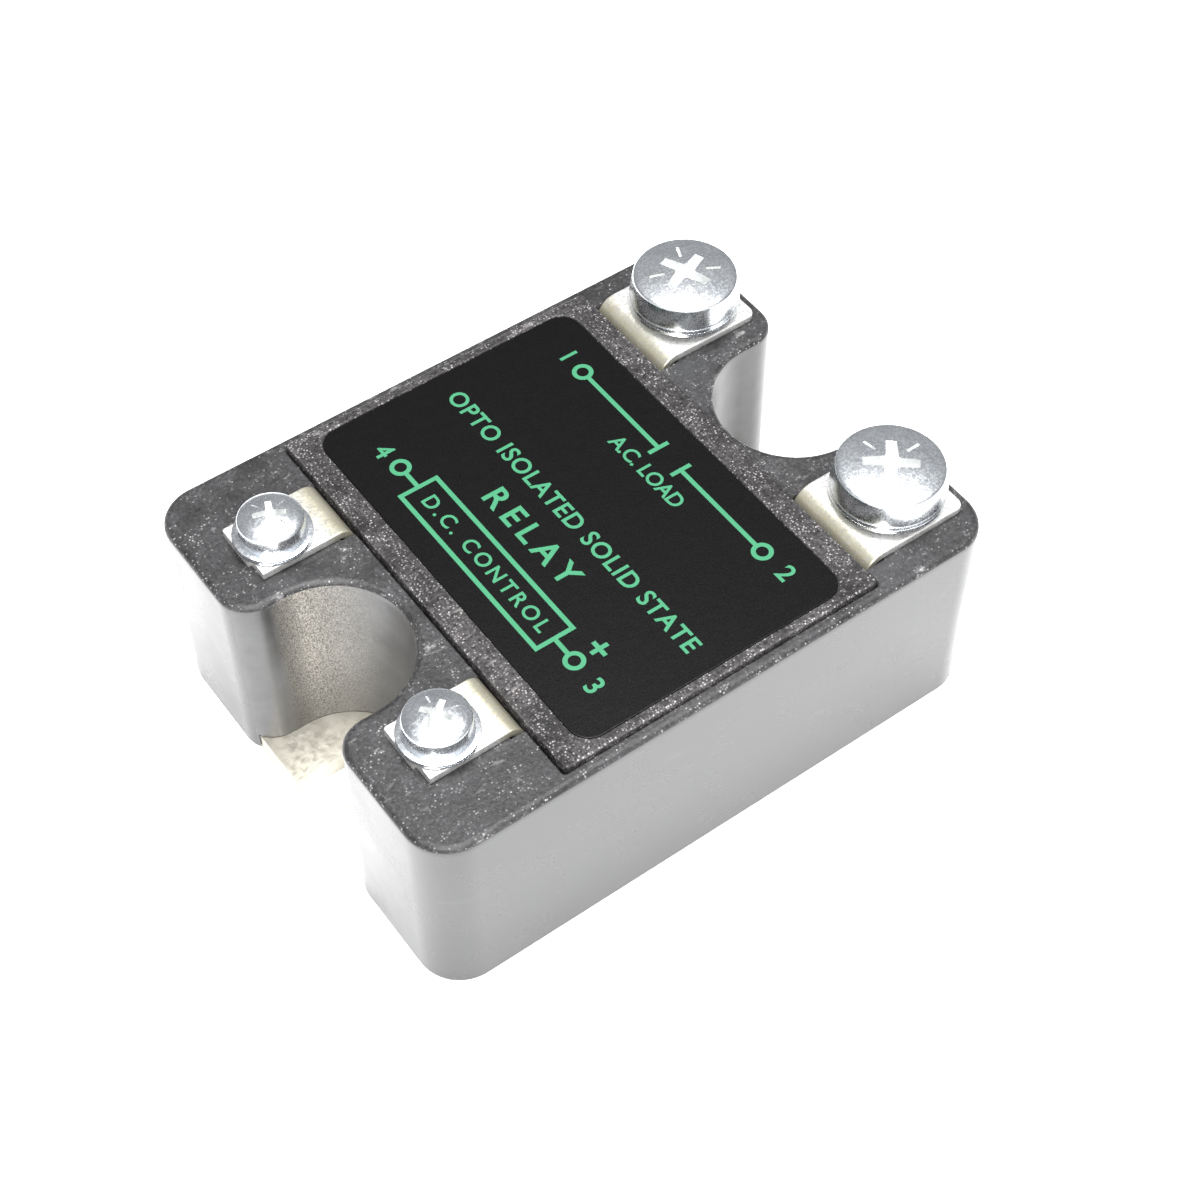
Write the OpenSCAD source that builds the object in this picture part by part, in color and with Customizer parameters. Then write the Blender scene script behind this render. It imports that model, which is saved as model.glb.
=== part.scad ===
// Panel mount solid state relay, "puck" pattern.
// Frame: underside of the base plate at Z = 0, centred in X and Y.
// +X runs from the control end to the load end, +Y to the far long side.

/* [Housing] */
// Length of the housing over both ends
body_l = 57.5; // [57:0.1:58.5]
// Width of the housing over both long sides
body_w = 44.5; // [44.3:0.1:45.8]
// Height of the moulded end blocks above the panel
body_h = 20.4; // [20:0.1:21.5]
// Radius of the four outer upright corners
corner_r = 4; // [2:0.5:4.5]
// Gap between the panel and the bottom edge of the housing
skirt_z = 0.2; // [0.1:0.05:0.4]

/* [End notches] */
// Radius of the rounded notch in each end
notch_r = 7.1; // [6.5:0.1:7.4]
// Distance from the end face to the centre of the notch
notch_in = 4.55; // [4.2:0.05:5]
// Radius of the rounded mouth corners of each notch
mouth_r = 3; // [2:0.25:3.5]

/* [Base plate] */
// Thickness of the metal base plate
plate_t = 2; // [1.8:0.1:2.4]
// Distance between the two mounting centres
mount_pitch = 47.6; // [47.4:0.1:47.8]
// Radius of the round mounting hole
hole_r = 2.3; // [2.15:0.05:2.4]
// Half width of the open mounting slot
slot_r = 2.4; // [2.3:0.05:2.6]

/* [Lid] */
// Thickness of the lid
lid_t = 2.4; // [2:0.1:2.6]
// Height of the lid above the end blocks
lid_proud = 0.6; // [0.4:0.1:0.8]
// Gap along the long sides of the lid
lid_gap = 0.05; // [0.05:0.01:0.1]
// Thickness of the label
label_t = 0.15; // [0.1:0.05:0.2]

/* [Load terminals] */
// Thickness of every terminal strip
strip_t = 0.8; // [0.7:0.1:0.9]
// Width of a load terminal plate
load_w = 9.7; // [9:0.1:10]
// Distance of each load terminal from the centre line
load_y = 14.3; // [14.2:0.1:14.6]
// Position of the load screws along the housing
load_x = 22.9; // [22.8:0.1:23.1]
// Radius of a load screw head
load_head_r = 5.05; // [4.7:0.05:5.2]
// Height of a load screw head
load_head_h = 2.7; // [2.5:0.1:3]
// Radius of a load screw shank
load_shank_r = 2.45; // [2.4:0.05:2.45]
// Gap left under a load washer with the screw eased off
load_gap = 0.6; // [0.4:0.1:0.8]

/* [Control terminals] */
// Width of a control terminal plate
ctl_w = 6.3; // [6:0.1:6.6]
// Distance of each control terminal from the centre line
ctl_y = 12.6; // [12.4:0.1:13]
// Position of the control screws along the housing
ctl_x = 21.8; // [21.6:0.1:22]
// Radius of a control screw head
ctl_head_r = 3; // [2.8:0.05:3.2]
// Height of a control screw head
ctl_head_h = 2.3; // [2:0.1:2.4]
// Radius of a control screw shank
ctl_shank_r = 1.45; // [1.4:0.05:1.45]
// Gap left under a control washer with the screw eased off
ctl_gap = 0.1; // [0.1:0.1:0.4]

/* [Hidden] */
$fn = 64;
end_x = body_l / 2;
side_y = body_w / 2;
notch_x = end_x - notch_in;
hole_x = mount_pitch / 2;
// base plate outline and the rebate it sits in
plate_x = end_x - 2.35;
plate_y = side_y - 1.15;
tongue_x = end_x - 0.55;
tongue_y = 9.5;
rebate = 0.1;
plate_r = 1.5;
seal_t = 0.15;
ledge_z = plate_t + seal_t;
// inner cavity
cav_x0 = -14;
cav_x1 = 15.2;
cav_y = side_y - 2.45;
// half widths of the bays and slots for the terminal legs
load_bay = 5;
ctl_bay = 3.3;
leg_room = 1.1;
shelf_w = 3;
shelf_h = 1.5;
shelf_in = 1.6;
// lid
lid_x0 = -15.55;
lid_x1 = 16.2;
lid_y = side_y - 1.2;
lid_end_gap = 0.2;
lid_top = body_h + lid_proud;
lid_z = lid_top - lid_t;
label_x0 = -13.2;
label_x1 = 13.8;
label_y = lid_y - 0.95;
label_deep = label_t + 0.05;
label_gap = 0.1;
label_r = 2;
// terminal strips
strip_z = body_h;
strip_top = body_h + strip_t;
bend_out = 2;
bend_z = strip_top - bend_out;
ctl_bend_out = 1.4;
ctl_bend_z = strip_top - ctl_bend_out;
load_leg = 16.5;
load_end = 27.4;
ctl_leg = -15.8;
ctl_end = -25;
load_hole_r = 2.75;
ctl_hole_r = 1.75;
leg_w = 6;
leg_y = 12.8;
ctl_leg_w = 3;
load_foot_x = 10.6;
ctl_foot_x = -11.6;
load_chamfer = 0.9;
// step in the outer edge of each control strip
ctl_step = 0.35;
ctl_step_share = 0.32;
// nuts and their pockets
load_nut_r = 4.62;
load_nut_h = 3.9;
ctl_nut_r = 3.18;
ctl_nut_h = 2.4;
nut_gap = 0.1;
nut_under = 0.2;
nut_bore_gap = 0.05;
// bores under the nuts for the screw ends
load_bore_r = 2.8;
load_bore_z = 11.5;
ctl_bore_r = 1.8;
ctl_bore_z = 13.2;
load_nut_z = body_h - nut_under - load_nut_h;
ctl_nut_z = body_h - nut_under - ctl_nut_h;
// washers and screws
load_wash_t = 0.8;
load_wash_r = load_head_r;
ctl_wash_t = 0.5;
ctl_wash_r = 3.45;
load_wash_z = strip_top + load_gap;
load_head_z = load_wash_z + load_wash_t;
ctl_wash_z = strip_top + ctl_gap;
ctl_head_z = ctl_wash_z + ctl_wash_t;
load_shank_l = 10;
ctl_shank_l = 8;
// power stage
solder_t = 0.12;
ceramic_t = 0.8;
pad_t = 0.3;
chip_t = 0.4;
chip_w = 7;
solder_z = plate_t;
ceramic_z = solder_z + solder_t;
pad_z = ceramic_z + ceramic_t;
chip_z = pad_z + pad_t;
chip_top = chip_z + chip_t;
strap_t = 0.4;
strap_w = 3;
bridge_z = 5.4;
chip_ax = 5.5;
chip_bx = -3.5;
chip_y = 6.5;
gel_top = 9;
// circuit board
pcb_z = 12;
pcb_t = 1.6;
pcb_top = pcb_z + pcb_t;
pcb_x0 = -13.4;
pcb_x1 = 11.5;
pcb_y = cav_y - 1.1;

// box from two opposite corners
module slab(x0, x1, y0, y1, z0, z1) {
  translate([x0, y0, z0])
    cube([x1 - x0, y1 - y0, z1 - z0]);
}

// upright round bar
module rod(x, y, z0, z1, r) {
  translate([x, y, z0])
    cylinder(h = z1 - z0, r = r);
}

// plate with rounded upright corners
module rslab(x0, x1, y0, y1, z0, z1, r) {
  slab(x0 + r, x1 - r, y0, y1, z0, z1);
  slab(x0, x1, y0 + r, y1 - r, z0, z1);
  rod(x0 + r, y0 + r, z0, z1, r);
  rod(x1 - r, y0 + r, z0, z1, r);
  rod(x0 + r, y1 - r, z0, z1, r);
  rod(x1 - r, y1 - r, z0, z1, r);
}

// one rounded mouth corner taken away: s is the end, t the side
module mouth(s, t, z0, z1) {
  x0 = end_x - mouth_r;
  y0 = notch_r;
  difference() {
    scale([s, t, 1])
      slab(x0, end_x + 1, y0 - 0.5, y0 + mouth_r, z0, z1);
    rod(s * x0, t * (y0 + mouth_r), z0 - 1, z1 + 1, mouth_r);
  }
}

// space of one end notch, s = -1 control end, s = 1 load end
module notch(s, z0, z1) {
  rod(s * notch_x, 0, z0, z1, notch_r);
  scale([s, 1, 1])
    slab(notch_x, end_x + 1, -notch_r, notch_r, z0, z1);
  mouth(s, 1, z0, z1);
  mouth(s, -1, z0, z1);
}

// outline of the base plate grown by g
module plate_form(g, z0, z1) {
  rslab(-plate_x - g, plate_x + g, -plate_y - g, plate_y + g, z0, z1, plate_r);
  slab(-tongue_x - g, tongue_x + g, -tongue_y - g, tongue_y + g, z0, z1);
}

// cavity with the side bays that hold the terminal legs
module cavity(z0, z1) {
  slab(cav_x0, cav_x1, -cav_y, cav_y, z0, z1);
  for (t = [-1, 1]) {
    scale([1, t, 1])
      slab(cav_x1 - 1, load_leg + leg_room, load_y - load_bay, load_y + load_bay, z0, z1);
    scale([1, t, 1])
      slab(ctl_leg - 1, cav_x0 + 1, ctl_y - ctl_bay, ctl_y + ctl_bay, z0, z1);
  }
}

module base_plate() {
  color([0.72, 0.69, 0.62])
  difference() {
    plate_form(0, 0, plate_t);
    rod(hole_x, 0, -1, plate_t + 1, hole_r);
    rod(-hole_x, 0, -1, plate_t + 1, slot_r);
    slab(-end_x - 1, -hole_x, -slot_r, slot_r, -1, plate_t + 1);
  }
}

module base_seal() {
  color([0.25, 0.22, 0.18])
  difference() {
    plate_form(0, plate_t, ledge_z);
    cavity(plate_t - 1, ledge_z + 1);
    notch(-1, plate_t - 1, ledge_z + 1);
    notch(1, plate_t - 1, ledge_z + 1);
  }
}

module housing() {
  color([0.13, 0.13, 0.14])
  union() {
    difference() {
      rslab(-end_x, end_x, -side_y, side_y, skirt_z, body_h, corner_r);
      notch(-1, -1, body_h + 1);
      notch(1, -1, body_h + 1);
      plate_form(rebate, -1, ledge_z);
      cavity(ledge_z - 0.5, lid_z + 0.01);
      slab(lid_x0 - lid_end_gap, lid_x1 + lid_end_gap,
           -lid_y - lid_gap, lid_y + lid_gap, lid_z, body_h + 1);
      for (t = [-1, 1]) {
        // slots for the legs, wider where the strips bend outwards
        scale([1, t, 1])
          slab(lid_x1, load_leg + leg_room, load_y - load_bay, load_y + load_bay,
               lid_z - 1, body_h + 1);
        scale([1, t, 1])
          slab(lid_x1, load_leg + bend_out, load_y - load_bay, load_y + load_bay,
               bend_z - 0.2, body_h + 1);
        scale([1, t, 1])
          slab(ctl_leg - leg_room, lid_x0, ctl_y - ctl_bay, ctl_y + ctl_bay,
               lid_z - 1, body_h + 1);
        scale([1, t, 1])
          slab(ctl_leg - ctl_bend_out, lid_x0, ctl_y - ctl_bay, ctl_y + ctl_bay,
               ctl_bend_z - 0.2, body_h + 1);
        translate([load_x, t * load_y, load_nut_z - 0.1])
          rotate([0, 0, 30])
            cylinder(h = 10, r = load_nut_r + nut_gap, $fn = 6);
        rod(load_x, t * load_y, load_bore_z, load_nut_z + 1, load_bore_r);
        translate([-ctl_x, t * ctl_y, ctl_nut_z - 0.1])
          rotate([0, 0, 30])
            cylinder(h = 10, r = ctl_nut_r + nut_gap, $fn = 6);
        rod(-ctl_x, t * ctl_y, ctl_bore_z, ctl_nut_z + 1, ctl_bore_r);
      }
    }
    // shelves that carry the circuit board
    for (x = [-9, 5]) {
      slab(x, x + shelf_w, cav_y - shelf_in, cav_y + 0.2, pcb_z - shelf_h, pcb_z);
      slab(x, x + shelf_w, -cav_y - 0.2, -cav_y + shelf_in, pcb_z - shelf_h, pcb_z);
    }
  }
}

module lid() {
  color([0.15, 0.15, 0.16])
  difference() {
    slab(lid_x0, lid_x1, -lid_y, lid_y, lid_z, lid_top);
    rslab(label_x0 - label_gap, label_x1 + label_gap, -label_y - label_gap, label_y + label_gap,
          lid_top - label_deep, lid_top + 1, label_r + label_gap);
  }
}

module label() {
  color([0.1, 0.1, 0.11])
  rslab(label_x0, label_x1, -label_y, label_y,
        lid_top - label_deep, lid_top - label_deep + label_t, label_r);
}

// bent strip of a load terminal, t = side
module load_strip(t) {
  y0 = load_y - load_w / 2;
  y1 = load_y + load_w / 2;
  zb = bend_z;
  scale([1, t, 1])
  union() {
    difference() {
      slab(load_leg + bend_out, load_end, y0, y1, strip_z, strip_top);
      rod(load_x, load_y, strip_z - 1, strip_top + 1, load_hole_r);
      translate([load_end, y0, strip_z - 1])
        rotate([0, 0, 45])
          cube([load_chamfer, load_chamfer, 4], center = true);
      translate([load_end, y1, strip_z - 1])
        rotate([0, 0, 45])
          cube([load_chamfer, load_chamfer, 4], center = true);
    }
    // outward bend at the lid edge
    intersection() {
      translate([load_leg + bend_out, y0, zb])
        rotate([-90, 0, 0])
          difference() {
            cylinder(h = y1 - y0, r = bend_out);
            translate([0, 0, -1])
              cylinder(h = y1 - y0 + 2, r = bend_out - strip_t);
          }
      slab(load_leg - 1, load_leg + bend_out, y0 - 1, y1 + 1,
           zb, strip_top + 1);
    }
    // shoulder, leg and soldered foot
    slab(load_leg, load_leg + strip_t, y0, y1, zb - 2, zb);
    slab(load_leg, load_leg + strip_t, leg_y - leg_w / 2, leg_y + leg_w / 2,
         chip_z, zb - 2);
    slab(load_foot_x, load_leg + strip_t, leg_y - leg_w / 2, leg_y + leg_w / 2,
         chip_z, chip_z + strip_t);
  }
}

// bent strip of a control terminal, t = side
module control_strip(t) {
  y0 = ctl_y - ctl_w / 2;
  y1 = ctl_y + ctl_w / 2;
  zb = ctl_bend_z;
  step = ctl_w * ctl_step_share;
  scale([1, t, 1])
  union() {
    difference() {
      slab(ctl_end, ctl_leg - ctl_bend_out, y0, y1, strip_z, strip_top);
      rod(-ctl_x, ctl_y, strip_z - 1, strip_top + 1, ctl_hole_r);
      // step in the outer edge, on the -Y side of both strips
      slab(ctl_end - 1, ctl_end + ctl_step,
           t > 0 ? y0 - 1 : y1 - step, t > 0 ? y0 + step : y1 + 1,
           strip_z - 1, strip_top + 1);
    }
    intersection() {
      translate([ctl_leg - ctl_bend_out, y0, zb])
        rotate([-90, 0, 0])
          difference() {
            cylinder(h = y1 - y0, r = ctl_bend_out);
            translate([0, 0, -1])
              cylinder(h = y1 - y0 + 2, r = ctl_bend_out - strip_t);
          }
      slab(ctl_leg - ctl_bend_out, ctl_leg + 1, y0 - 1, y1 + 1,
           zb, strip_top + 1);
    }
    slab(ctl_leg - strip_t, ctl_leg, y0, y1, zb - 2, zb);
    slab(ctl_leg - strip_t, ctl_leg, ctl_y - ctl_leg_w / 2,
         ctl_y + ctl_leg_w / 2, pcb_top, zb - 2);
    slab(ctl_leg - strip_t, ctl_foot_x, ctl_y - ctl_leg_w / 2,
         ctl_y + ctl_leg_w / 2, pcb_top, pcb_top + strip_t);
  }
}

module load_terminal_1() {
  color([0.82, 0.82, 0.8])
  load_strip(1);
}

module load_terminal_2() {
  color([0.82, 0.82, 0.8])
  load_strip(-1);
}

module control_terminal_3() {
  color([0.82, 0.82, 0.8])
  control_strip(-1);
}

module control_terminal_4() {
  color([0.82, 0.82, 0.8])
  control_strip(1);
}

// hexagon nut
module nut(x, y, z, r, h, bore) {
  difference() {
    translate([x, y, z])
      rotate([0, 0, 30])
        cylinder(h = h, r = r, $fn = 6);
    rod(x, y, z - 1, z + h + 1, bore);
  }
}

module load_nut_1() {
  color([0.7, 0.68, 0.6])
  nut(load_x, load_y, load_nut_z, load_nut_r, load_nut_h,
      load_shank_r + nut_bore_gap);
}

module load_nut_2() {
  color([0.7, 0.68, 0.6])
  nut(load_x, -load_y, load_nut_z, load_nut_r, load_nut_h,
      load_shank_r + nut_bore_gap);
}

module control_nut_3() {
  color([0.7, 0.68, 0.6])
  nut(-ctl_x, -ctl_y, ctl_nut_z, ctl_nut_r, ctl_nut_h,
      ctl_shank_r + nut_bore_gap);
}

module control_nut_4() {
  color([0.7, 0.68, 0.6])
  nut(-ctl_x, ctl_y, ctl_nut_z, ctl_nut_r, ctl_nut_h,
      ctl_shank_r + nut_bore_gap);
}

// flat captive washer
module washer(x, y, z, r, t, bore) {
  difference() {
    rod(x, y, z, z + t, r);
    rod(x, y, z - 1, z + t + 1, bore);
  }
}

module load_washer_1() {
  color([0.78, 0.79, 0.8])
  washer(load_x, load_y, load_wash_z, load_wash_r, load_wash_t, 2.6);
}

module load_washer_2() {
  color([0.78, 0.79, 0.8])
  washer(load_x, -load_y, load_wash_z, load_wash_r, load_wash_t, 2.6);
}

module control_washer_3() {
  color([0.78, 0.79, 0.8])
  washer(-ctl_x, -ctl_y, ctl_wash_z, ctl_wash_r, ctl_wash_t, 1.6);
}

module control_washer_4() {
  color([0.78, 0.79, 0.8])
  washer(-ctl_x, ctl_y, ctl_wash_z, ctl_wash_r, ctl_wash_t, 1.6);
}

// pan head screw with a cross recess
module screw(x, y, z, head_r, head_h, shank_r, shank_l, turn) {
  arm = head_r * 0.5;
  slot = head_r * 0.18;
  deep = head_h * 0.6;
  difference() {
    union() {
      rod(x, y, z, z + head_h * 0.8, head_r);
      rod(x, y, z + head_h * 0.8, z + head_h, head_r * 0.9);
      rod(x, y, z - shank_l, z, shank_r);
    }
    translate([x, y, z + head_h - deep])
      rotate([0, 0, turn]) {
        slab(-arm, arm, -slot / 2, slot / 2, 0, deep + 1);
        slab(-slot / 2, slot / 2, -arm, arm, 0, deep + 1);
      }
  }
}

module load_screw_1() {
  color([0.76, 0.78, 0.8])
  screw(load_x, load_y, load_head_z, load_head_r, load_head_h,
        load_shank_r, load_shank_l, 20);
}

module load_screw_2() {
  color([0.76, 0.78, 0.8])
  screw(load_x, -load_y, load_head_z, load_head_r, load_head_h,
        load_shank_r, load_shank_l, 50);
}

module control_screw_3() {
  color([0.76, 0.78, 0.8])
  screw(-ctl_x, -ctl_y, ctl_head_z, ctl_head_r, ctl_head_h,
        ctl_shank_r, ctl_shank_l, 35);
}

module control_screw_4() {
  color([0.76, 0.78, 0.8])
  screw(-ctl_x, ctl_y, ctl_head_z, ctl_head_r, ctl_head_h,
        ctl_shank_r, ctl_shank_l, 65);
}

module solder_layer() {
  color([0.62, 0.63, 0.65])
  slab(-12, 14.4, -17, 17, solder_z, ceramic_z);
}

module ceramic_substrate() {
  color([0.93, 0.92, 0.88])
  slab(-12.3, 14.7, -17.4, 17.4, ceramic_z, pad_z);
}

module copper_pad_1() {
  color([0.8, 0.48, 0.3])
  slab(-8.5, 14, 1.5, 16.4, pad_z, chip_z);
}

module copper_pad_2() {
  color([0.8, 0.48, 0.3])
  slab(-8.5, 14, -16.4, -1.5, pad_z, chip_z);
}

module thyristor_a() {
  color([0.35, 0.36, 0.42])
  slab(chip_ax - chip_w / 2, chip_ax + chip_w / 2,
       chip_y - chip_w / 2, chip_y + chip_w / 2, chip_z, chip_top);
}

module thyristor_b() {
  color([0.35, 0.36, 0.42])
  slab(chip_bx - chip_w / 2, chip_bx + chip_w / 2,
       -chip_y - chip_w / 2, -chip_y + chip_w / 2, chip_z, chip_top);
}

// bridge from the top of a chip to the other pad, t = side of the chip
module strap(x, t) {
  x0 = x - strap_w / 2;
  x1 = x + strap_w / 2;
  scale([1, t, 1])
  union() {
    slab(x0, x1, chip_y - 2.6, chip_y + 2, chip_top, chip_top + strap_t);
    slab(x0, x1, chip_y - 3, chip_y - 2.6, chip_top, bridge_z);
    slab(x0, x1, -3.6, chip_y - 2.6, bridge_z, bridge_z + strap_t);
    slab(x0, x1, -3.6, -3.2, chip_z, bridge_z);
    slab(x0, x1, -7, -3.2, chip_z, chip_z + strap_t);
  }
}

module strap_a() {
  color([0.82, 0.55, 0.36])
  strap(chip_ax, 1);
}

module strap_b() {
  color([0.82, 0.55, 0.36])
  strap(chip_bx, -1);
}

module gate_lead_a() {
  color([0.8, 0.78, 0.74])
  rod(chip_ax + 2.6, chip_y + 2.4, chip_top, pcb_z, 0.35);
}

module gate_lead_b() {
  color([0.8, 0.78, 0.74])
  rod(chip_bx - 2.6, -chip_y - 2.4, chip_top, pcb_z, 0.35);
}

module circuit_board() {
  color([0.12, 0.4, 0.24])
  slab(pcb_x0, pcb_x1, -pcb_y, pcb_y, pcb_z, pcb_top);
}

module optocoupler() {
  color([0.9, 0.9, 0.88])
  union() {
    slab(-4.3, 4.3, -3.2, 3.2, pcb_top + 0.4, pcb_top + 3.8);
    for (x = [-2.54, 0, 2.54]) {
      slab(x - 0.3, x + 0.3, 3.2, 3.9, pcb_top, pcb_top + 2);
      slab(x - 0.3, x + 0.3, -3.9, -3.2, pcb_top, pcb_top + 2);
    }
  }
}

// axial component lying along Y on the board
module axial(x, y, r, l, span) {
  z = pcb_top + r + 0.1;
  translate([x, y - l / 2, z])
    rotate([-90, 0, 0])
      cylinder(h = l, r = r);
  translate([x, y - span / 2, z])
    rotate([-90, 0, 0])
      cylinder(h = span, r = 0.3);
  rod(x, y - span / 2, pcb_top, z, 0.3);
  rod(x, y + span / 2, pcb_top, z, 0.3);
}

module input_resistor() {
  color([0.3, 0.5, 0.62])
  axial(-8.5, 0, 1.15, 6.3, 10);
}

module gate_resistor_a() {
  color([0.3, 0.5, 0.62])
  axial(8, 8.5, 1.15, 6.3, 10);
}

module gate_resistor_b() {
  color([0.3, 0.5, 0.62])
  axial(8, -8.5, 1.15, 6.3, 10);
}

module transistor() {
  color([0.1, 0.1, 0.1])
  union() {
    difference() {
      rod(-3, 9.5, pcb_top + 0.6, pcb_top + 4.6, 2.3);
      slab(-6, 0, 10.9, 13, pcb_top, pcb_top + 5);
    }
    for (x = [-4.27, -3, -1.73])
      slab(x - 0.22, x + 0.22, 9.3, 9.74, pcb_top, pcb_top + 0.6);
  }
}

module diode() {
  color([0.7, 0.35, 0.2])
  axial(-3, -10, 0.95, 4, 8);
}

module filter_capacitor() {
  color([0.75, 0.55, 0.15])
  union() {
    slab(1.2, 3.8, -13.6, -6.4, pcb_top + 0.3, pcb_top + 4.5);
    slab(2.2, 2.8, -12.8, -12.2, pcb_top, pcb_top + 0.3);
    slab(2.2, 2.8, -7.8, -7.2, pcb_top, pcb_top + 0.3);
  }
}

module potting_gel() {
  color([0.85, 0.85, 0.8, 0.5])
  difference() {
    slab(cav_x0, cav_x1, -cav_y, cav_y, plate_t, gel_top);
    solder_layer();
    ceramic_substrate();
    copper_pad_1();
    copper_pad_2();
    thyristor_a();
    thyristor_b();
    strap_a();
    strap_b();
    gate_lead_a();
    gate_lead_b();
    load_strip(1);
    load_strip(-1);
  }
}

base_plate();
base_seal();
housing();
lid();
label();
load_terminal_1();
load_terminal_2();
control_terminal_3();
control_terminal_4();
load_nut_1();
load_nut_2();
control_nut_3();
control_nut_4();
load_washer_1();
load_washer_2();
control_washer_3();
control_washer_4();
load_screw_1();
load_screw_2();
control_screw_3();
control_screw_4();
solder_layer();
ceramic_substrate();
copper_pad_1();
copper_pad_2();
thyristor_a();
thyristor_b();
strap_a();
strap_b();
gate_lead_a();
gate_lead_b();
circuit_board();
optocoupler();
input_resistor();
gate_resistor_a();
gate_resistor_b();
transistor();
diode();
filter_capacitor();
potting_gel();
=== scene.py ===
"""Looks of a panel mount solid state relay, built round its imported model.

The outer pieces are rebuilt as fine surfaces worked out with numpy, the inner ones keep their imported
shape, and every piece gets a procedural finish. Lengths in this file are millimetres until a mesh is made.
"""

from __future__ import annotations

import logging
import math
from dataclasses import dataclass, field
from enum import Enum

import bpy
import numpy as np
from mathutils import Matrix, Vector


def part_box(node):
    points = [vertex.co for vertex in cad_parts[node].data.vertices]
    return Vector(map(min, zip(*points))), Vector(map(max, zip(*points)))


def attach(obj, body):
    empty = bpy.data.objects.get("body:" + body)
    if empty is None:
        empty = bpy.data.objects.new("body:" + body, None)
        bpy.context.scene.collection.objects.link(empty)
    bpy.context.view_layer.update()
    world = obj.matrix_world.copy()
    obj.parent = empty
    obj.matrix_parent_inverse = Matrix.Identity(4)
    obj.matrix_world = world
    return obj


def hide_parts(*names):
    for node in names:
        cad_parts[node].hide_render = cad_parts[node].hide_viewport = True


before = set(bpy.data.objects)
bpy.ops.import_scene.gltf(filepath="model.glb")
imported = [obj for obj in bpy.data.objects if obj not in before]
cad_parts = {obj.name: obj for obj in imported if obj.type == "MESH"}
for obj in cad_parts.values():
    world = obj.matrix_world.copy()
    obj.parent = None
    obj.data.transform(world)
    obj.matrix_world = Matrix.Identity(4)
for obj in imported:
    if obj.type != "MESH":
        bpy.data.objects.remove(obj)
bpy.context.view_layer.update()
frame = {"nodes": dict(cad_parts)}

LOG = logging.getLogger("relay")
MM = 0.001
UP = np.array([0.0, 0.0, 1.0])

Array = np.ndarray
Faces = list[tuple[int, ...]]


# ---------------------------------------------------------------------------
# Surfaces
# ---------------------------------------------------------------------------


@dataclass
class Shell:
    """A closed or open surface: points in millimetres and the faces between them."""

    points: Array
    faces: Faces

    def turned(self, degrees: float, about: tuple[float, float]) -> "Shell":
        """Return the shell turned about an upright line through the point `about`."""
        a = math.radians(degrees)
        turn = np.array([[math.cos(a), -math.sin(a)], [math.sin(a), math.cos(a)]])
        points = self.points.copy()
        points[:, :2] = (points[:, :2] - about) @ turn.T + about
        return Shell(points, self.faces)

    def shifted(self, step: tuple[float, float, float]) -> "Shell":
        """Return the shell moved by a step."""
        return Shell(self.points + np.array(step), self.faces)


def grid_faces(rows: int, columns: int, wrap: bool = True) -> Faces:
    """Quads of a grid whose rows are closed loops.

    Args:
        rows: Number of loops.
        columns: Points in each loop.
        wrap: Whether the last column joins the first.

    Returns:
        The quads as tuples of point numbers, facing outwards where the loops run
        anticlockwise and the rows run upwards.
    """
    r, c = np.meshgrid(np.arange(rows - 1), np.arange(columns if wrap else columns - 1), indexing="ij")
    a = r * columns + c
    b = r * columns + (c + 1) % columns
    quads = np.stack([a, b, b + columns, a + columns], axis=-1).reshape(-1, 4)
    return [tuple(q) for q in quads.tolist()]


def loft(loops: Array) -> Shell:
    """Close a stack of loops into a solid.

    Args:
        loops: Array of rows by columns by 3. Each row is a closed anticlockwise loop, the first one lowest.

    Returns:
        The side walls between neighbouring loops with a flat face on the first and the last loop.
    """
    rows, columns = loops.shape[:2]
    first = tuple(range(columns))[::-1]
    last = tuple(range((rows - 1) * columns, rows * columns))
    return Shell(loops.reshape(-1, 3), [first, *grid_faces(rows, columns), last])


def raised(outline: Array, inward: Array, steps: list[tuple[float, float]]) -> Array:
    """Stack one outline at several heights.

    Args:
        outline: Columns by 2, the closed outline.
        inward: Columns by 2, the unit step that shrinks the outline at each point.
        steps: Pairs of (inset, height) from the bottom up.

    Returns:
        Loops for loft(): point = outline + inset * inward, at that height.
    """
    table = np.array(steps)
    flat = outline[None] + table[:, :1, None] * inward[None]
    height = np.broadcast_to(table[:, 1:, None], (*flat.shape[:2], 1))
    return np.concatenate([flat, height], axis=-1)


def arc(centre: tuple[float, float], radius: float, start: float, end: float, count: int) -> tuple[Array, Array]:
    """Points of an arc and the unit directions out from its centre.

    Args:
        centre: Centre of the arc.
        radius: Its radius.
        start: First angle in degrees.
        end: Last angle in degrees.
        count: Number of points.

    Returns:
        The points, centre + radius * (cos a, sin a), and the directions (cos a, sin a).
    """
    a = np.radians(np.linspace(start, end, count))
    out = np.stack([np.cos(a), np.sin(a)], axis=-1)
    return np.array(centre) + radius * out, out


def rounded_box_outline(low: tuple[float, float], high: tuple[float, float], radius: float,
                        count: int = 9) -> tuple[Array, Array]:
    """Rectangle with round corners.

    Args:
        low: Its lowest corner.
        high: Its highest corner.
        radius: Radius of the corners.
        count: Points in each corner.

    Returns:
        The outline, anticlockwise from the lower right corner, and its inward directions, which at a
        corner point are minus the arc's own direction.
    """
    corners = [
        ((high[0] - radius, low[1] + radius), -90.0),
        ((high[0] - radius, high[1] - radius), 0.0),
        ((low[0] + radius, high[1] - radius), 90.0),
        ((low[0] + radius, low[1] + radius), 180.0),
    ]
    parts = [arc(centre, radius, start, start + 90, count) for centre, start in corners]
    return np.vstack([p for p, _ in parts]), -np.vstack([n for _, n in parts])


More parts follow.
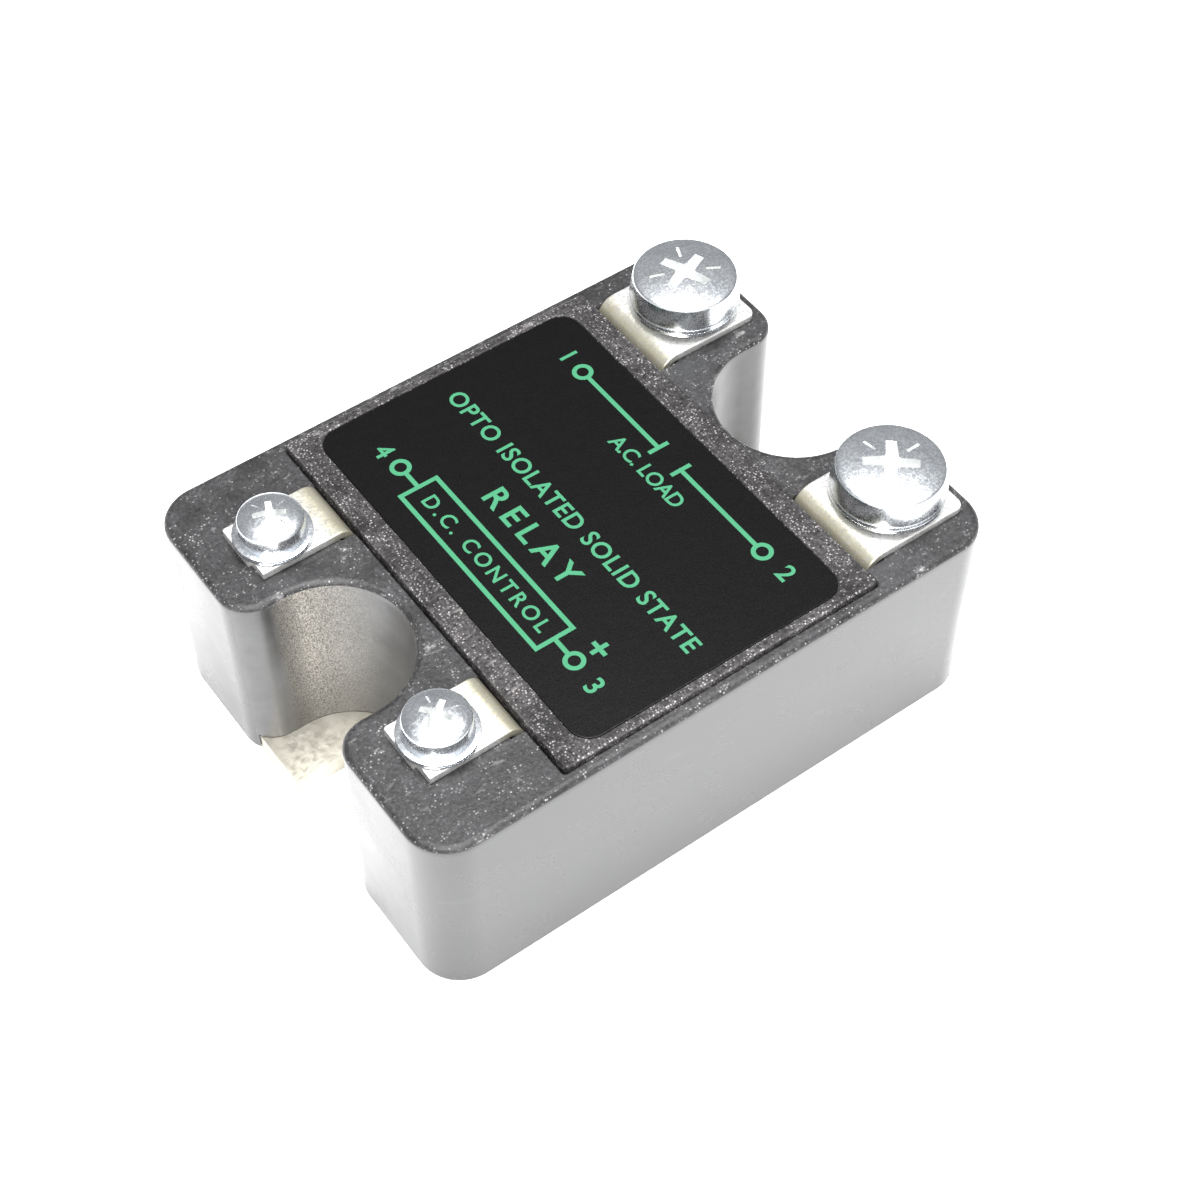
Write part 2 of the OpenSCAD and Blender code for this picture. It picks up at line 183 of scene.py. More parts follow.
def circle_outline(centre: tuple[float, float], radius: float, count: int) -> tuple[Array, Array]:
    """Closed circle of `count` points and its inward directions."""
    points, out = arc(centre, radius, 0.0, 360.0 * (count - 1) / count, count)
    return points, -out


def box_shell(low: tuple[float, float, float], high: tuple[float, float, float]) -> Shell:
    """Plain block between two corners, used to cut or to add a ledge."""
    outline = np.array([[low[0], low[1]], [high[0], low[1]], [high[0], high[1]], [low[0], high[1]]])
    return loft(raised(outline, outline * 0.0, [(0.0, low[2]), (0.0, high[2])]))


def prism_shell(outline: Array, low: float, high: float) -> Shell:
    """Upright prism on an outline, used to cut."""
    return loft(raised(outline, outline * 0.0, [(0.0, low), (0.0, high)]))


def turned_shell(profile: list[tuple[float, float]], centre: tuple[float, float], count: int = 96) -> Shell:
    """Surface of revolution about an upright line.

    Args:
        profile: Pairs of (radius, height) from the bottom up.
        centre: Where the line stands.
        count: Points round it.

    Returns:
        The closed solid: point = centre + radius * (cos a, sin a), at the profile's height.
    """
    outline, inward = circle_outline(centre, 1.0, count)
    return loft(raised(outline, inward, [(1.0 - r, z) for r, z in profile]))


def ring_shell(profile: list[tuple[float, float]], centre: tuple[float, float], count: int = 96) -> Shell:
    """Ring of revolution.

    Its closed profile of (radius, height) runs anticlockwise, seen with the radius to the right.
    """
    outline, inward = circle_outline(centre, 1.0, count)
    loops = raised(outline, inward, [(1.0 - r, z) for r, z in [*profile, profile[0]]])
    rows, columns = len(profile), count
    faces = [tuple(i % (rows * columns) for i in quad) for quad in grid_faces(rows + 1, columns)]
    return Shell(loops[:-1].reshape(-1, 3), faces)


def quarter_round(inset: float, height: float, radius: float, count: int = 5) -> list[tuple[float, float]]:
    """Steps of a rounded top edge that ends at `inset` and `height`: a quarter circle of that radius."""
    a = np.radians(np.linspace(0.0, 90.0, count))
    return list(zip((inset - radius * np.cos(a)).tolist(), (height - radius + radius * np.sin(a)).tolist()))


# ---------------------------------------------------------------------------
# Blender objects
# ---------------------------------------------------------------------------


def add_object(name: str, data: bpy.types.ID) -> bpy.types.Object:
    """Put a new object for this data into the scene."""
    item = bpy.data.objects.new(name, data)
    bpy.context.scene.collection.objects.link(item)
    return item


def shade(mesh: bpy.types.Mesh, smooth: float) -> None:
    """Shade a mesh smooth but for edges sharper than an angle in degrees."""
    mesh.polygons.foreach_set("use_smooth", [True] * len(mesh.polygons))
    mesh.set_sharp_from_angle(angle=math.radians(smooth))


def join(piece: bpy.types.Object, others: list[bpy.types.Object]) -> None:
    """Join other objects into a piece."""
    with bpy.context.temp_override(active_object=piece, selected_editable_objects=[piece, *others]):
        bpy.ops.object.join()


def make_object(name: str, shell: Shell, smooth: float = 35.0) -> bpy.types.Object:
    """Put a shell into a mesh object.

    Args:
        name: Name of the piece.
        shell: Its surface in millimetres.
        smooth: Edges sharper than this angle in degrees stay sharp.

    Returns:
        The new object, at the origin, in metres.
    """
    mesh = bpy.data.meshes.new(name)
    mesh.from_pydata((shell.points * MM).tolist(), [], shell.faces)
    mesh.update()
    shade(mesh, smooth)
    return add_object(name, mesh)


def bake_modifiers(piece: bpy.types.Object) -> None:
    """Apply every modifier of a piece to its mesh."""
    graph = bpy.context.evaluated_depsgraph_get()
    graph.update()
    mesh = bpy.data.meshes.new_from_object(piece.evaluated_get(graph), depsgraph=graph)
    piece.modifiers.clear()
    old = piece.data
    mesh.name = old.name
    piece.data = mesh
    bpy.data.meshes.remove(old)


def combine(piece: bpy.types.Object, shells: list[Shell], operation: str = "DIFFERENCE",
            smooth: float = 35.0) -> None:
    """Cut shells out of a piece, or weld them on, one after another.

    Args:
        piece: The piece to work on.
        shells: The tools.
        operation: DIFFERENCE or UNION.
        smooth: Edges sharper than this angle in degrees stay sharp.
    """
    for number, shell in enumerate(shells):
        tool = make_object(f"tool_{number}", shell)
        modifier = piece.modifiers.new("tool", "BOOLEAN")
        modifier.operation = operation
        modifier.solver = "EXACT"
        modifier.object = tool
        bake_modifiers(piece)
        mesh = tool.data
        bpy.data.objects.remove(tool)
        bpy.data.meshes.remove(mesh)
    shade(piece.data, smooth)


def face_table(piece: bpy.types.Object) -> tuple[Array, Array]:
    """Centres in millimetres and unit normals of a piece's faces."""
    count = len(piece.data.polygons)
    centres, normals = np.zeros(count * 3), np.zeros(count * 3)
    piece.data.polygons.foreach_get("center", centres)
    piece.data.polygons.foreach_get("normal", normals)
    return centres.reshape(-1, 3) / MM, normals.reshape(-1, 3)


def node_box(node: str) -> tuple[Array, Array]:
    """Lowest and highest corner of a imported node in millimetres."""
    low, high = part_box(node)
    return np.array(low) / MM, np.array(high) / MM


def middle_of(low: Array, high: Array) -> tuple[float, float]:
    """Middle of a box, seen from above."""
    return (low[0] + high[0]) / 2, (low[1] + high[1]) / 2


# ---------------------------------------------------------------------------
# Finishes
# ---------------------------------------------------------------------------


class Sheet:
    """Short hand for wiring a node tree."""

    def __init__(self, tree: bpy.types.NodeTree) -> None:
        """Hold the tree."""
        self.tree = tree

    def add(self, kind: str, inputs: dict[str, object] | None = None, **settings: object) -> bpy.types.Node:
        """Add a node.

        Args:
            kind: Type name of the node.
            inputs: Socket name to a value or to an output socket.
            settings: Attributes of the node.

        Returns:
            The node.
        """
        node = self.tree.nodes.new(kind)
        for key, value in settings.items():
            setattr(node, key, value)
        for key, value in (inputs or {}).items():
            self.plug(value, node.inputs[key])
        return node

    def plug(self, value: object, socket: bpy.types.NodeSocket) -> None:
        """Link an output socket to an input, or set the input's own value."""
        if isinstance(value, bpy.types.NodeSocket):
            self.tree.links.new(value, socket)
        else:
            socket.default_value = value

    def mix(self, amount: object, first: object, second: object) -> bpy.types.NodeSocket:
        """Mix two colours by an amount from 0 to 1."""
        node = self.tree.nodes.new("ShaderNodeMix")
        node.data_type = "RGBA"
        self.plug(amount, node.inputs[0])
        self.plug(first, node.inputs[6])
        self.plug(second, node.inputs[7])
        return node.outputs[2]

    def maths(self, operation: str, first: object, second: object = 0.0) -> bpy.types.NodeSocket:
        """Work out first (operation) second."""
        node = self.tree.nodes.new("ShaderNodeMath")
        node.operation = operation
        self.plug(first, node.inputs[0])
        self.plug(second, node.inputs[1])
        return node.outputs[0]

    def ramp(self, value: object, low: float, high: float, to_low: float = 0.0,
             to_high: float = 1.0) -> bpy.types.NodeSocket:
        """Map low..high to to_low..to_high, held at the ends."""
        node = self.tree.nodes.new("ShaderNodeMapRange")
        node.clamp = True
        for socket, number in zip(node.inputs[1:5], (low, high, to_low, to_high)):
            socket.default_value = number
        self.plug(value, node.inputs[0])
        return node.outputs[0]


def new_group(name: str, inputs: list[tuple[str, str, float]], outputs: list[tuple[str, str]]) -> tuple[
        bpy.types.ShaderNodeTree, Sheet, bpy.types.Node, bpy.types.Node]:
    """Start a shader node group.

    Args:
        name: Its name.
        inputs: Rows of (name, socket kind, default).
        outputs: Rows of (name, socket kind).

    Returns:
        The tree, its Sheet, its input node and its output node.
    """
    tree = bpy.data.node_groups.new(name, "ShaderNodeTree")
    for label, kind, default in inputs:
        socket = tree.interface.new_socket(name=label, in_out="INPUT", socket_type=kind)
        if kind == "NodeSocketFloat":
            socket.default_value = default
    for label, kind in outputs:
        tree.interface.new_socket(name=label, in_out="OUTPUT", socket_type=kind)
    sheet = Sheet(tree)
    return tree, sheet, tree.nodes.new("NodeGroupInput"), tree.nodes.new("NodeGroupOutput")


class Effect(Enum):
    """Surface effects that several finishes share."""

    GRAIN = "moulded_grain"
    MOTTLE = "soft_mottle"
    SCRATCH = "fine_scratches"


def build_grain() -> bpy.types.ShaderNodeTree:
    """Fine spark-eroded grain: a shallow bump, an uneven tone and painted glints as pale specks in a share of the
    cells.
    """
    tree, sheet, start, end = new_group(
        Effect.GRAIN.value,
        [("Vector", "NodeSocketVector", 0.0), ("Depth", "NodeSocketFloat", 0.5), ("Share", "NodeSocketFloat", 0.3)],
        [("PaintedGlints", "NodeSocketFloat"), ("Tone", "NodeSocketFloat"), ("Normal", "NodeSocketVector")],
    )
    place = start.outputs["Vector"]
    coarse = sheet.add("ShaderNodeTexNoise", {"Vector": place, "Scale": 2900.0, "Detail": 4.0, "Roughness": 0.7})
    fine = sheet.add("ShaderNodeTexNoise", {"Vector": place, "Scale": 7500.0, "Detail": 2.0})
    cells = sheet.add("ShaderNodeTexVoronoi", {"Vector": place, "Scale": 4300.0})
    patches = sheet.add("ShaderNodeTexNoise", {"Vector": place, "Scale": 600.0, "Detail": 4.0, "Roughness": 0.7})
    height = sheet.maths("ADD", coarse.outputs["Fac"], sheet.maths("MULTIPLY", fine.outputs["Fac"], 0.55))
    bump = sheet.add("ShaderNodeBump", {"Height": height, "Strength": start.outputs["Depth"], "Distance": 0.00025})
    # Pale specks in a share of the cells are painted glints: near a cell's middle, where the cell's luck beats the
    # share.
    near = sheet.ramp(cells.outputs["Distance"], 0.44, 0.14)
    luck = sheet.maths("ADD", cells.outputs["Color"], sheet.ramp(patches.outputs["Fac"], 0.3, 0.7, -0.35, 0.35))
    margin = sheet.maths("ADD", sheet.maths("SUBTRACT", luck, 1.0), start.outputs["Share"])
    sheet.plug(sheet.maths("MULTIPLY", near, sheet.ramp(margin, 0.0, 0.6)), end.inputs["PaintedGlints"])
    sheet.plug(sheet.ramp(coarse.outputs["Fac"], 0.3, 0.7), end.inputs["Tone"])
    sheet.plug(bump.outputs["Normal"], end.inputs["Normal"])
    return tree


def build_mottle() -> bpy.types.ShaderNodeTree:
    """Slow uneven tone and a faint waviness, as on plating, film and polished moulding."""
    tree, sheet, start, end = new_group(
        Effect.MOTTLE.value,
        [("Vector", "NodeSocketVector", 0.0), ("Scale", "NodeSocketFloat", 300.0), ("Depth", "NodeSocketFloat", 0.1)],
        [("Tone", "NodeSocketFloat"), ("Fine", "NodeSocketFloat"), ("Normal", "NodeSocketVector")],
    )
    slow = sheet.add("ShaderNodeTexNoise", {"Vector": start.outputs["Vector"], "Scale": start.outputs["Scale"],
                                            "Detail": 5.0, "Roughness": 0.6})
    quick_scale = sheet.maths("MULTIPLY", start.outputs["Scale"], 7.0)
    quick = sheet.add("ShaderNodeTexNoise", {"Vector": start.outputs["Vector"], "Scale": quick_scale, "Detail": 3.0})
    height = sheet.maths("ADD", slow.outputs["Fac"], sheet.maths("MULTIPLY", quick.outputs["Fac"], 0.3))
    bump = sheet.add("ShaderNodeBump", {"Height": height, "Strength": start.outputs["Depth"], "Distance": 0.0003})
    sheet.plug(sheet.ramp(slow.outputs["Fac"], 0.32, 0.68), end.inputs["Tone"])
    sheet.plug(sheet.ramp(quick.outputs["Fac"], 0.35, 0.65), end.inputs["Fine"])
    sheet.plug(bump.outputs["Normal"], end.inputs["Normal"])
    return tree


def build_scratches() -> bpy.types.ShaderNodeTree:
    """Long fine lines along one axis: noise squeezed by the Stretch vector, kept where it peaks."""
    tree, sheet, start, end = new_group(
        Effect.SCRATCH.value,
        [("Vector", "NodeSocketVector", 0.0), ("Stretch", "NodeSocketVector", 0.0),
         ("Depth", "NodeSocketFloat", 0.1)],
        [("Lines", "NodeSocketFloat"), ("Tone", "NodeSocketFloat"), ("Normal", "NodeSocketVector")],
    )
    place = sheet.add("ShaderNodeVectorMath", operation="MULTIPLY")
    sheet.plug(start.outputs["Vector"], place.inputs[0])
    sheet.plug(start.outputs["Stretch"], place.inputs[1])
    lines = sheet.add("ShaderNodeTexNoise", {"Vector": place.outputs[0], "Scale": 1.0, "Detail": 4.0,
                                             "Roughness": 0.65})
    bump = sheet.add("ShaderNodeBump", {"Height": lines.outputs["Fac"], "Strength": start.outputs["Depth"],
                                        "Distance": 0.0002})
    sheet.plug(sheet.ramp(lines.outputs["Fac"], 0.62, 0.72), end.inputs["Lines"])
    sheet.plug(sheet.ramp(lines.outputs["Fac"], 0.35, 0.65), end.inputs["Tone"])
    sheet.plug(bump.outputs["Normal"], end.inputs["Normal"])
    return tree


@dataclass
class Effects:
    """The shared node groups, built once."""

    trees: dict[Effect, bpy.types.ShaderNodeTree] = field(default_factory=dict)

    def build(self) -> None:
        """Build every group."""
        self.trees = {
            Effect.GRAIN: build_grain(),
            Effect.MOTTLE: build_mottle(),
            Effect.SCRATCH: build_scratches(),
        }

    def place(self, sheet: Sheet, effect: Effect, inputs: dict[str, object]) -> bpy.types.Node:
        """Put one effect into a material with its own values."""
        return sheet.add("ShaderNodeGroup", inputs, node_tree=self.trees[effect])


def start_material(name: str, roughness: float, metallic: float = 0.0, specular: float = 0.5) -> tuple[
        bpy.types.Material, Sheet, bpy.types.Node, bpy.types.NodeSocket]:
    """Start a material.

    Args:
        name: Its name.
        roughness: Roughness on the shader's own socket.
        metallic: Metallic on the shader's own socket.
        specular: Specular level on the shader's own socket.

    Returns:
        The material, its Sheet, its Principled node and the Object coordinate socket.
    """
    material = bpy.data.materials.new(name)
    material.use_nodes = True
    shader = material.node_tree.nodes["Principled BSDF"]
    shader.inputs["Roughness"].default_value = roughness
    shader.inputs["Metallic"].default_value = metallic
    shader.inputs["Specular IOR Level"].default_value = specular
    sheet = Sheet(material.node_tree)
    coordinate = sheet.add("ShaderNodeTexCoord")
    return material, sheet, shader, coordinate.outputs["Object"]


Colour = tuple[float, float, float]


def rgba(colour: Colour) -> tuple[float, float, float, float]:
    """Colour with full alpha."""
    return (*colour, 1.0)


@dataclass(frozen=True)
class GrainedMoulding:
    """Dark thermoset moulding with a spark-eroded grain, pale specks painted as glints, and rubbed patches."""

    name: str = "grained_moulding"
    dark: Colour = (0.005, 0.0048, 0.0052)
    pale: Colour = (0.050, 0.049, 0.051)
    # Pale colour of the scuffs and of the painted glint specks.
    speck: Colour = (0.36, 0.35, 0.35)
    depth: float = 0.20
    share: float = 0.34
    specular: float = 0.30
    scuff: float = 0.55

    def make(self, effects: Effects) -> bpy.types.Material:
        """Mix two dark tones by the grain and the wear, then lay the scuffs and the painted glint specks over them."""
        material, sheet, shader, place = start_material(self.name, 0.5, specular=self.specular)
        grain = effects.place(sheet, Effect.GRAIN, {"Vector": place, "Depth": self.depth, "Share": self.share})
        wear = effects.place(sheet, Effect.MOTTLE, {"Vector": place, "Scale": 300.0, "Depth": 0.1})
        tone = sheet.maths("MULTIPLY", grain.outputs["Tone"], sheet.ramp(wear.outputs["Tone"], 0.0, 1.0, 0.25, 1.0))
        scuffs = effects.place(sheet, Effect.SCRATCH, {"Vector": place, "Stretch": (420.0, 900.0, 600.0),
                                                       "Depth": 0.05})
        smear = sheet.maths("MULTIPLY", scuffs.outputs["Lines"], wear.outputs["Tone"])
        body = sheet.mix(tone, rgba(self.dark), rgba(self.pale))
        body = sheet.mix(sheet.maths("MULTIPLY", smear, self.scuff), body, rgba(self.speck))
        # Painted glints: pale specks laid over the body colour.
        sheet.plug(sheet.mix(grain.outputs["PaintedGlints"], body, rgba(self.speck)), shader.inputs["Base Color"])
        sheet.plug(sheet.ramp(wear.outputs["Tone"], 0.0, 1.0, 0.38, 0.52), shader.inputs["Roughness"])
        sheet.plug(grain.outputs["Normal"], shader.inputs["Normal"])
        return material


@dataclass(frozen=True)
class PolishedMoulding:
    """The same moulding where the tool was polished: smooth sides that mirror what is round them."""

    name: str = "polished_moulding"
    dark: Colour = (0.022, 0.022, 0.023)
    pale: Colour = (0.034, 0.034, 0.035)
    rough_low: float = 0.22
    rough_high: float = 0.32
    specular: float = 0.75

    def make(self, effects: Effects) -> bpy.types.Material:
        """Mottle the tone and the sheen, with a few long scuffs along the wall."""
        material, sheet, shader, place = start_material(self.name, 0.3, specular=self.specular)
        mottle = effects.place(sheet, Effect.MOTTLE, {"Vector": place, "Scale": 110.0, "Depth": 0.004})
        scuffs = effects.place(sheet, Effect.SCRATCH, {"Vector": place, "Stretch": (130.0, 130.0, 1300.0),
                                                       "Depth": 0.02})
        body = sheet.mix(mottle.outputs["Tone"], rgba(self.dark), rgba(self.pale))
        amount = sheet.maths("MULTIPLY", scuffs.outputs["Lines"], 0.25)
        sheet.plug(sheet.mix(amount, body, rgba((0.10, 0.10, 0.10))), shader.inputs["Base Color"])
        sheet.plug(sheet.ramp(mottle.outputs["Tone"], 0.0, 1.0, self.rough_low, self.rough_high),
                   shader.inputs["Roughness"])
        sheet.plug(mottle.outputs["Normal"], shader.inputs["Normal"])
        return material


@dataclass(frozen=True)
class RubbedMoulding:
    """Notch walls: smooth moulding with a sandy band where the mounting screw and driver rub."""

    name: str = "rubbed_moulding"
    dark: Colour = (0.030, 0.030, 0.031)
    pale: Colour = (0.060, 0.060, 0.061)
    brown: Colour = (0.022, 0.019, 0.015)
    sand: Colour = (0.420, 0.395, 0.345)
    specular: float = 0.75
    band: tuple[float, float, float, float] = (-0.0258, -0.0247, -0.0228, -0.0175)

    def make(self, effects: Effects) -> bpy.types.Material:
        """Keep the band to a stretch of X in the control notch and speckle it."""
        material, sheet, shader, place = start_material(self.name, 0.3, specular=self.specular)
        mottle = effects.place(sheet, Effect.MOTTLE, {"Vector": place, "Scale": 300.0, "Depth": 0.04})
        rubbed = effects.place(sheet, Effect.SCRATCH, {"Vector": place, "Stretch": (7500.0, 7500.0, 5000.0),
                                                       "Depth": 0.35})
        apart = sheet.add("ShaderNodeSeparateXYZ", {"Vector": place})
        outer, outer_full, inner_full, inner = self.band
        mask = sheet.maths("MULTIPLY", sheet.ramp(apart.outputs["X"], outer, outer_full),
                           sheet.ramp(apart.outputs["X"], inner, inner_full))
        clean = sheet.maths("MULTIPLY", sheet.ramp(apart.outputs["Z"], 0.003, 0.011, 0.45, 1.0),
                            sheet.ramp(apart.outputs["X"], outer_full, inner_full, 0.35, 1.0))
        sandy = sheet.mix(sheet.maths("MULTIPLY", rubbed.outputs["Tone"], clean), rgba(self.brown), rgba(self.sand))
        smooth = sheet.mix(mottle.outputs["Tone"], rgba(self.dark), rgba(self.pale))
        sheet.plug(sheet.mix(mask, smooth, sandy), shader.inputs["Base Color"])
        sheet.plug(sheet.ramp(mask, 0.0, 1.0, 0.30, 0.55), shader.inputs["Roughness"])
        height = sheet.maths("MULTIPLY", rubbed.outputs["Tone"], mask)
        bump = sheet.add("ShaderNodeBump", {"Height": height, "Strength": 0.25, "Distance": 0.0001})
        sheet.plug(bump.outputs["Normal"], shader.inputs["Normal"])
        return material


@dataclass(frozen=True)
class Plating:
    """Metal plating: a bright base, duller patches, a mottled roughness and fine rubbing lines."""

    name: str
    bright: Colour
    dull: Colour
    metallic: float = 1.0
    rough_low: float = 0.18
    rough_high: float = 0.34
    patch_scale: float = 500.0
    depth: float = 0.12
    stretch: tuple[float, float, float] = (1500.0, 120.0, 400.0)
    # Colour of painted shade on a strip's bend, laid where |x| falls between the two limits below, or None.
    tint: Colour | None = None
    bend_shade_from: float = 0.0188
    bend_shade_to: float = 0.0172

    def make(self, effects: Effects) -> bpy.types.Material:
        """Mix the two tones by the patches, with an optional tint of painted shade on the bend where |x| falls towards
        the lid.
        """
        material, sheet, shader, place = start_material(self.name, self.rough_low, self.metallic)
        patches = effects.place(sheet, Effect.MOTTLE, {"Vector": place, "Scale": self.patch_scale,
                                                       "Depth": self.depth})
        lines = effects.place(sheet, Effect.SCRATCH, {"Vector": place, "Stretch": self.stretch, "Depth": 0.06})
        amount = sheet.maths("MULTIPLY", patches.outputs["Tone"], 0.85)
        colour = sheet.mix(sheet.maths("ADD", amount, sheet.maths("MULTIPLY", lines.outputs["Lines"], 0.15)),
                           rgba(self.bright), rgba(self.dull))
        if self.tint is not None:
            # Painted shade on the bend: the tint grows as |x| falls towards the lid.
            apart = sheet.add("ShaderNodeSeparateXYZ", {"Vector": place})
            reach = sheet.maths("ABSOLUTE", apart.outputs["X"])
            bend_shade = sheet.ramp(reach, self.bend_shade_from, self.bend_shade_to, 0.0, 0.8)
            bend_shade_spread = sheet.maths("MULTIPLY", bend_shade, sheet.ramp(patches.outputs["Fine"], 0.0, 1.0, 0.6, 1.0))
            colour = sheet.mix(bend_shade_spread, colour, rgba(self.tint))
        sheet.plug(colour, shader.inputs["Base Color"])
        sheet.plug(sheet.ramp(patches.outputs["Fine"], 0.0, 1.0, self.rough_low, self.rough_high),
                   shader.inputs["Roughness"])
        sheet.plug(patches.outputs["Normal"], shader.inputs["Normal"])
        return material


@dataclass(frozen=True)
class Plain:
    """A quiet finish of two close tones with an uneven sheen, for film, print, resin, ceramic and solder."""

    name: str
    first: Colour
    second: Colour
    roughness: float = 0.5
    metallic: float = 0.0
    scale: float = 600.0
    depth: float = 0.1
    sheen_range: float = 0.12
    specular: float = 0.5

    def make(self, effects: Effects) -> bpy.types.Material:
        """Mix the tones and the roughness by one mottle."""
        material, sheet, shader, place = start_material(self.name, self.roughness, self.metallic,
                                                         self.specular)
        mottle = effects.place(sheet, Effect.MOTTLE, {"Vector": place, "Scale": self.scale, "Depth": self.depth})
        sheet.plug(sheet.mix(mottle.outputs["Tone"], rgba(self.first), rgba(self.second)),
                   shader.inputs["Base Color"])
        sheet.plug(sheet.ramp(mottle.outputs["Fine"], 0.0, 1.0, self.roughness, self.roughness + self.sheen_range),
                   shader.inputs["Roughness"])
        sheet.plug(mottle.outputs["Normal"], shader.inputs["Normal"])
        return material


@dataclass(frozen=True)
class Banded:
    """A painted body with colour bands at set distances along Y from its middle."""

    name: str
    body: Colour
    bands: tuple[tuple[float, Colour], ...]
    middle: float
    half_width: float = 0.00035
    roughness: float = 0.35

    def make(self, effects: Effects) -> bpy.types.Material:
        """Paint each band where the distance from its place along Y is under half its width."""
        material, sheet, shader, place = start_material(self.name, self.roughness)
        mottle = effects.place(sheet, Effect.MOTTLE, {"Vector": place, "Scale": 900.0, "Depth": 0.05})
        apart = sheet.add("ShaderNodeSeparateXYZ", {"Vector": place})
        dark = tuple(0.8 * part for part in self.body)
        colour = sheet.mix(mottle.outputs["Tone"], rgba(self.body), rgba(dark))
        for offset, paint in self.bands:
            distance = sheet.maths("ABSOLUTE", sheet.maths("SUBTRACT", apart.outputs["Y"], self.middle + offset))
            colour = sheet.mix(sheet.maths("LESS_THAN", distance, self.half_width), colour, rgba(paint))
        sheet.plug(colour, shader.inputs["Base Color"])
        sheet.plug(mottle.outputs["Normal"], shader.inputs["Normal"])
        return material


@dataclass(frozen=True)
class Gel:
    """Clear soft silicone gel."""

    name: str = "potting_gel"
    tint: Colour = (0.80, 0.84, 0.86)

    def make(self, effects: Effects) -> bpy.types.Material:
        """Let the light through a slightly wavy, faintly tinted body."""
        material, sheet, shader, place = start_material(self.name, 0.12)
        shader.inputs["Transmission Weight"].default_value = 0.85
        shader.inputs["IOR"].default_value = 1.41
        mottle = effects.place(sheet, Effect.MOTTLE, {"Vector": place, "Scale": 200.0, "Depth": 0.15})
        pale = tuple(min(1.0, 1.1 * part) for part in self.tint)
        sheet.plug(sheet.mix(mottle.outputs["Tone"], rgba(self.tint), rgba(pale)), shader.inputs["Base Color"])
        sheet.plug(mottle.outputs["Normal"], shader.inputs["Normal"])
        return material


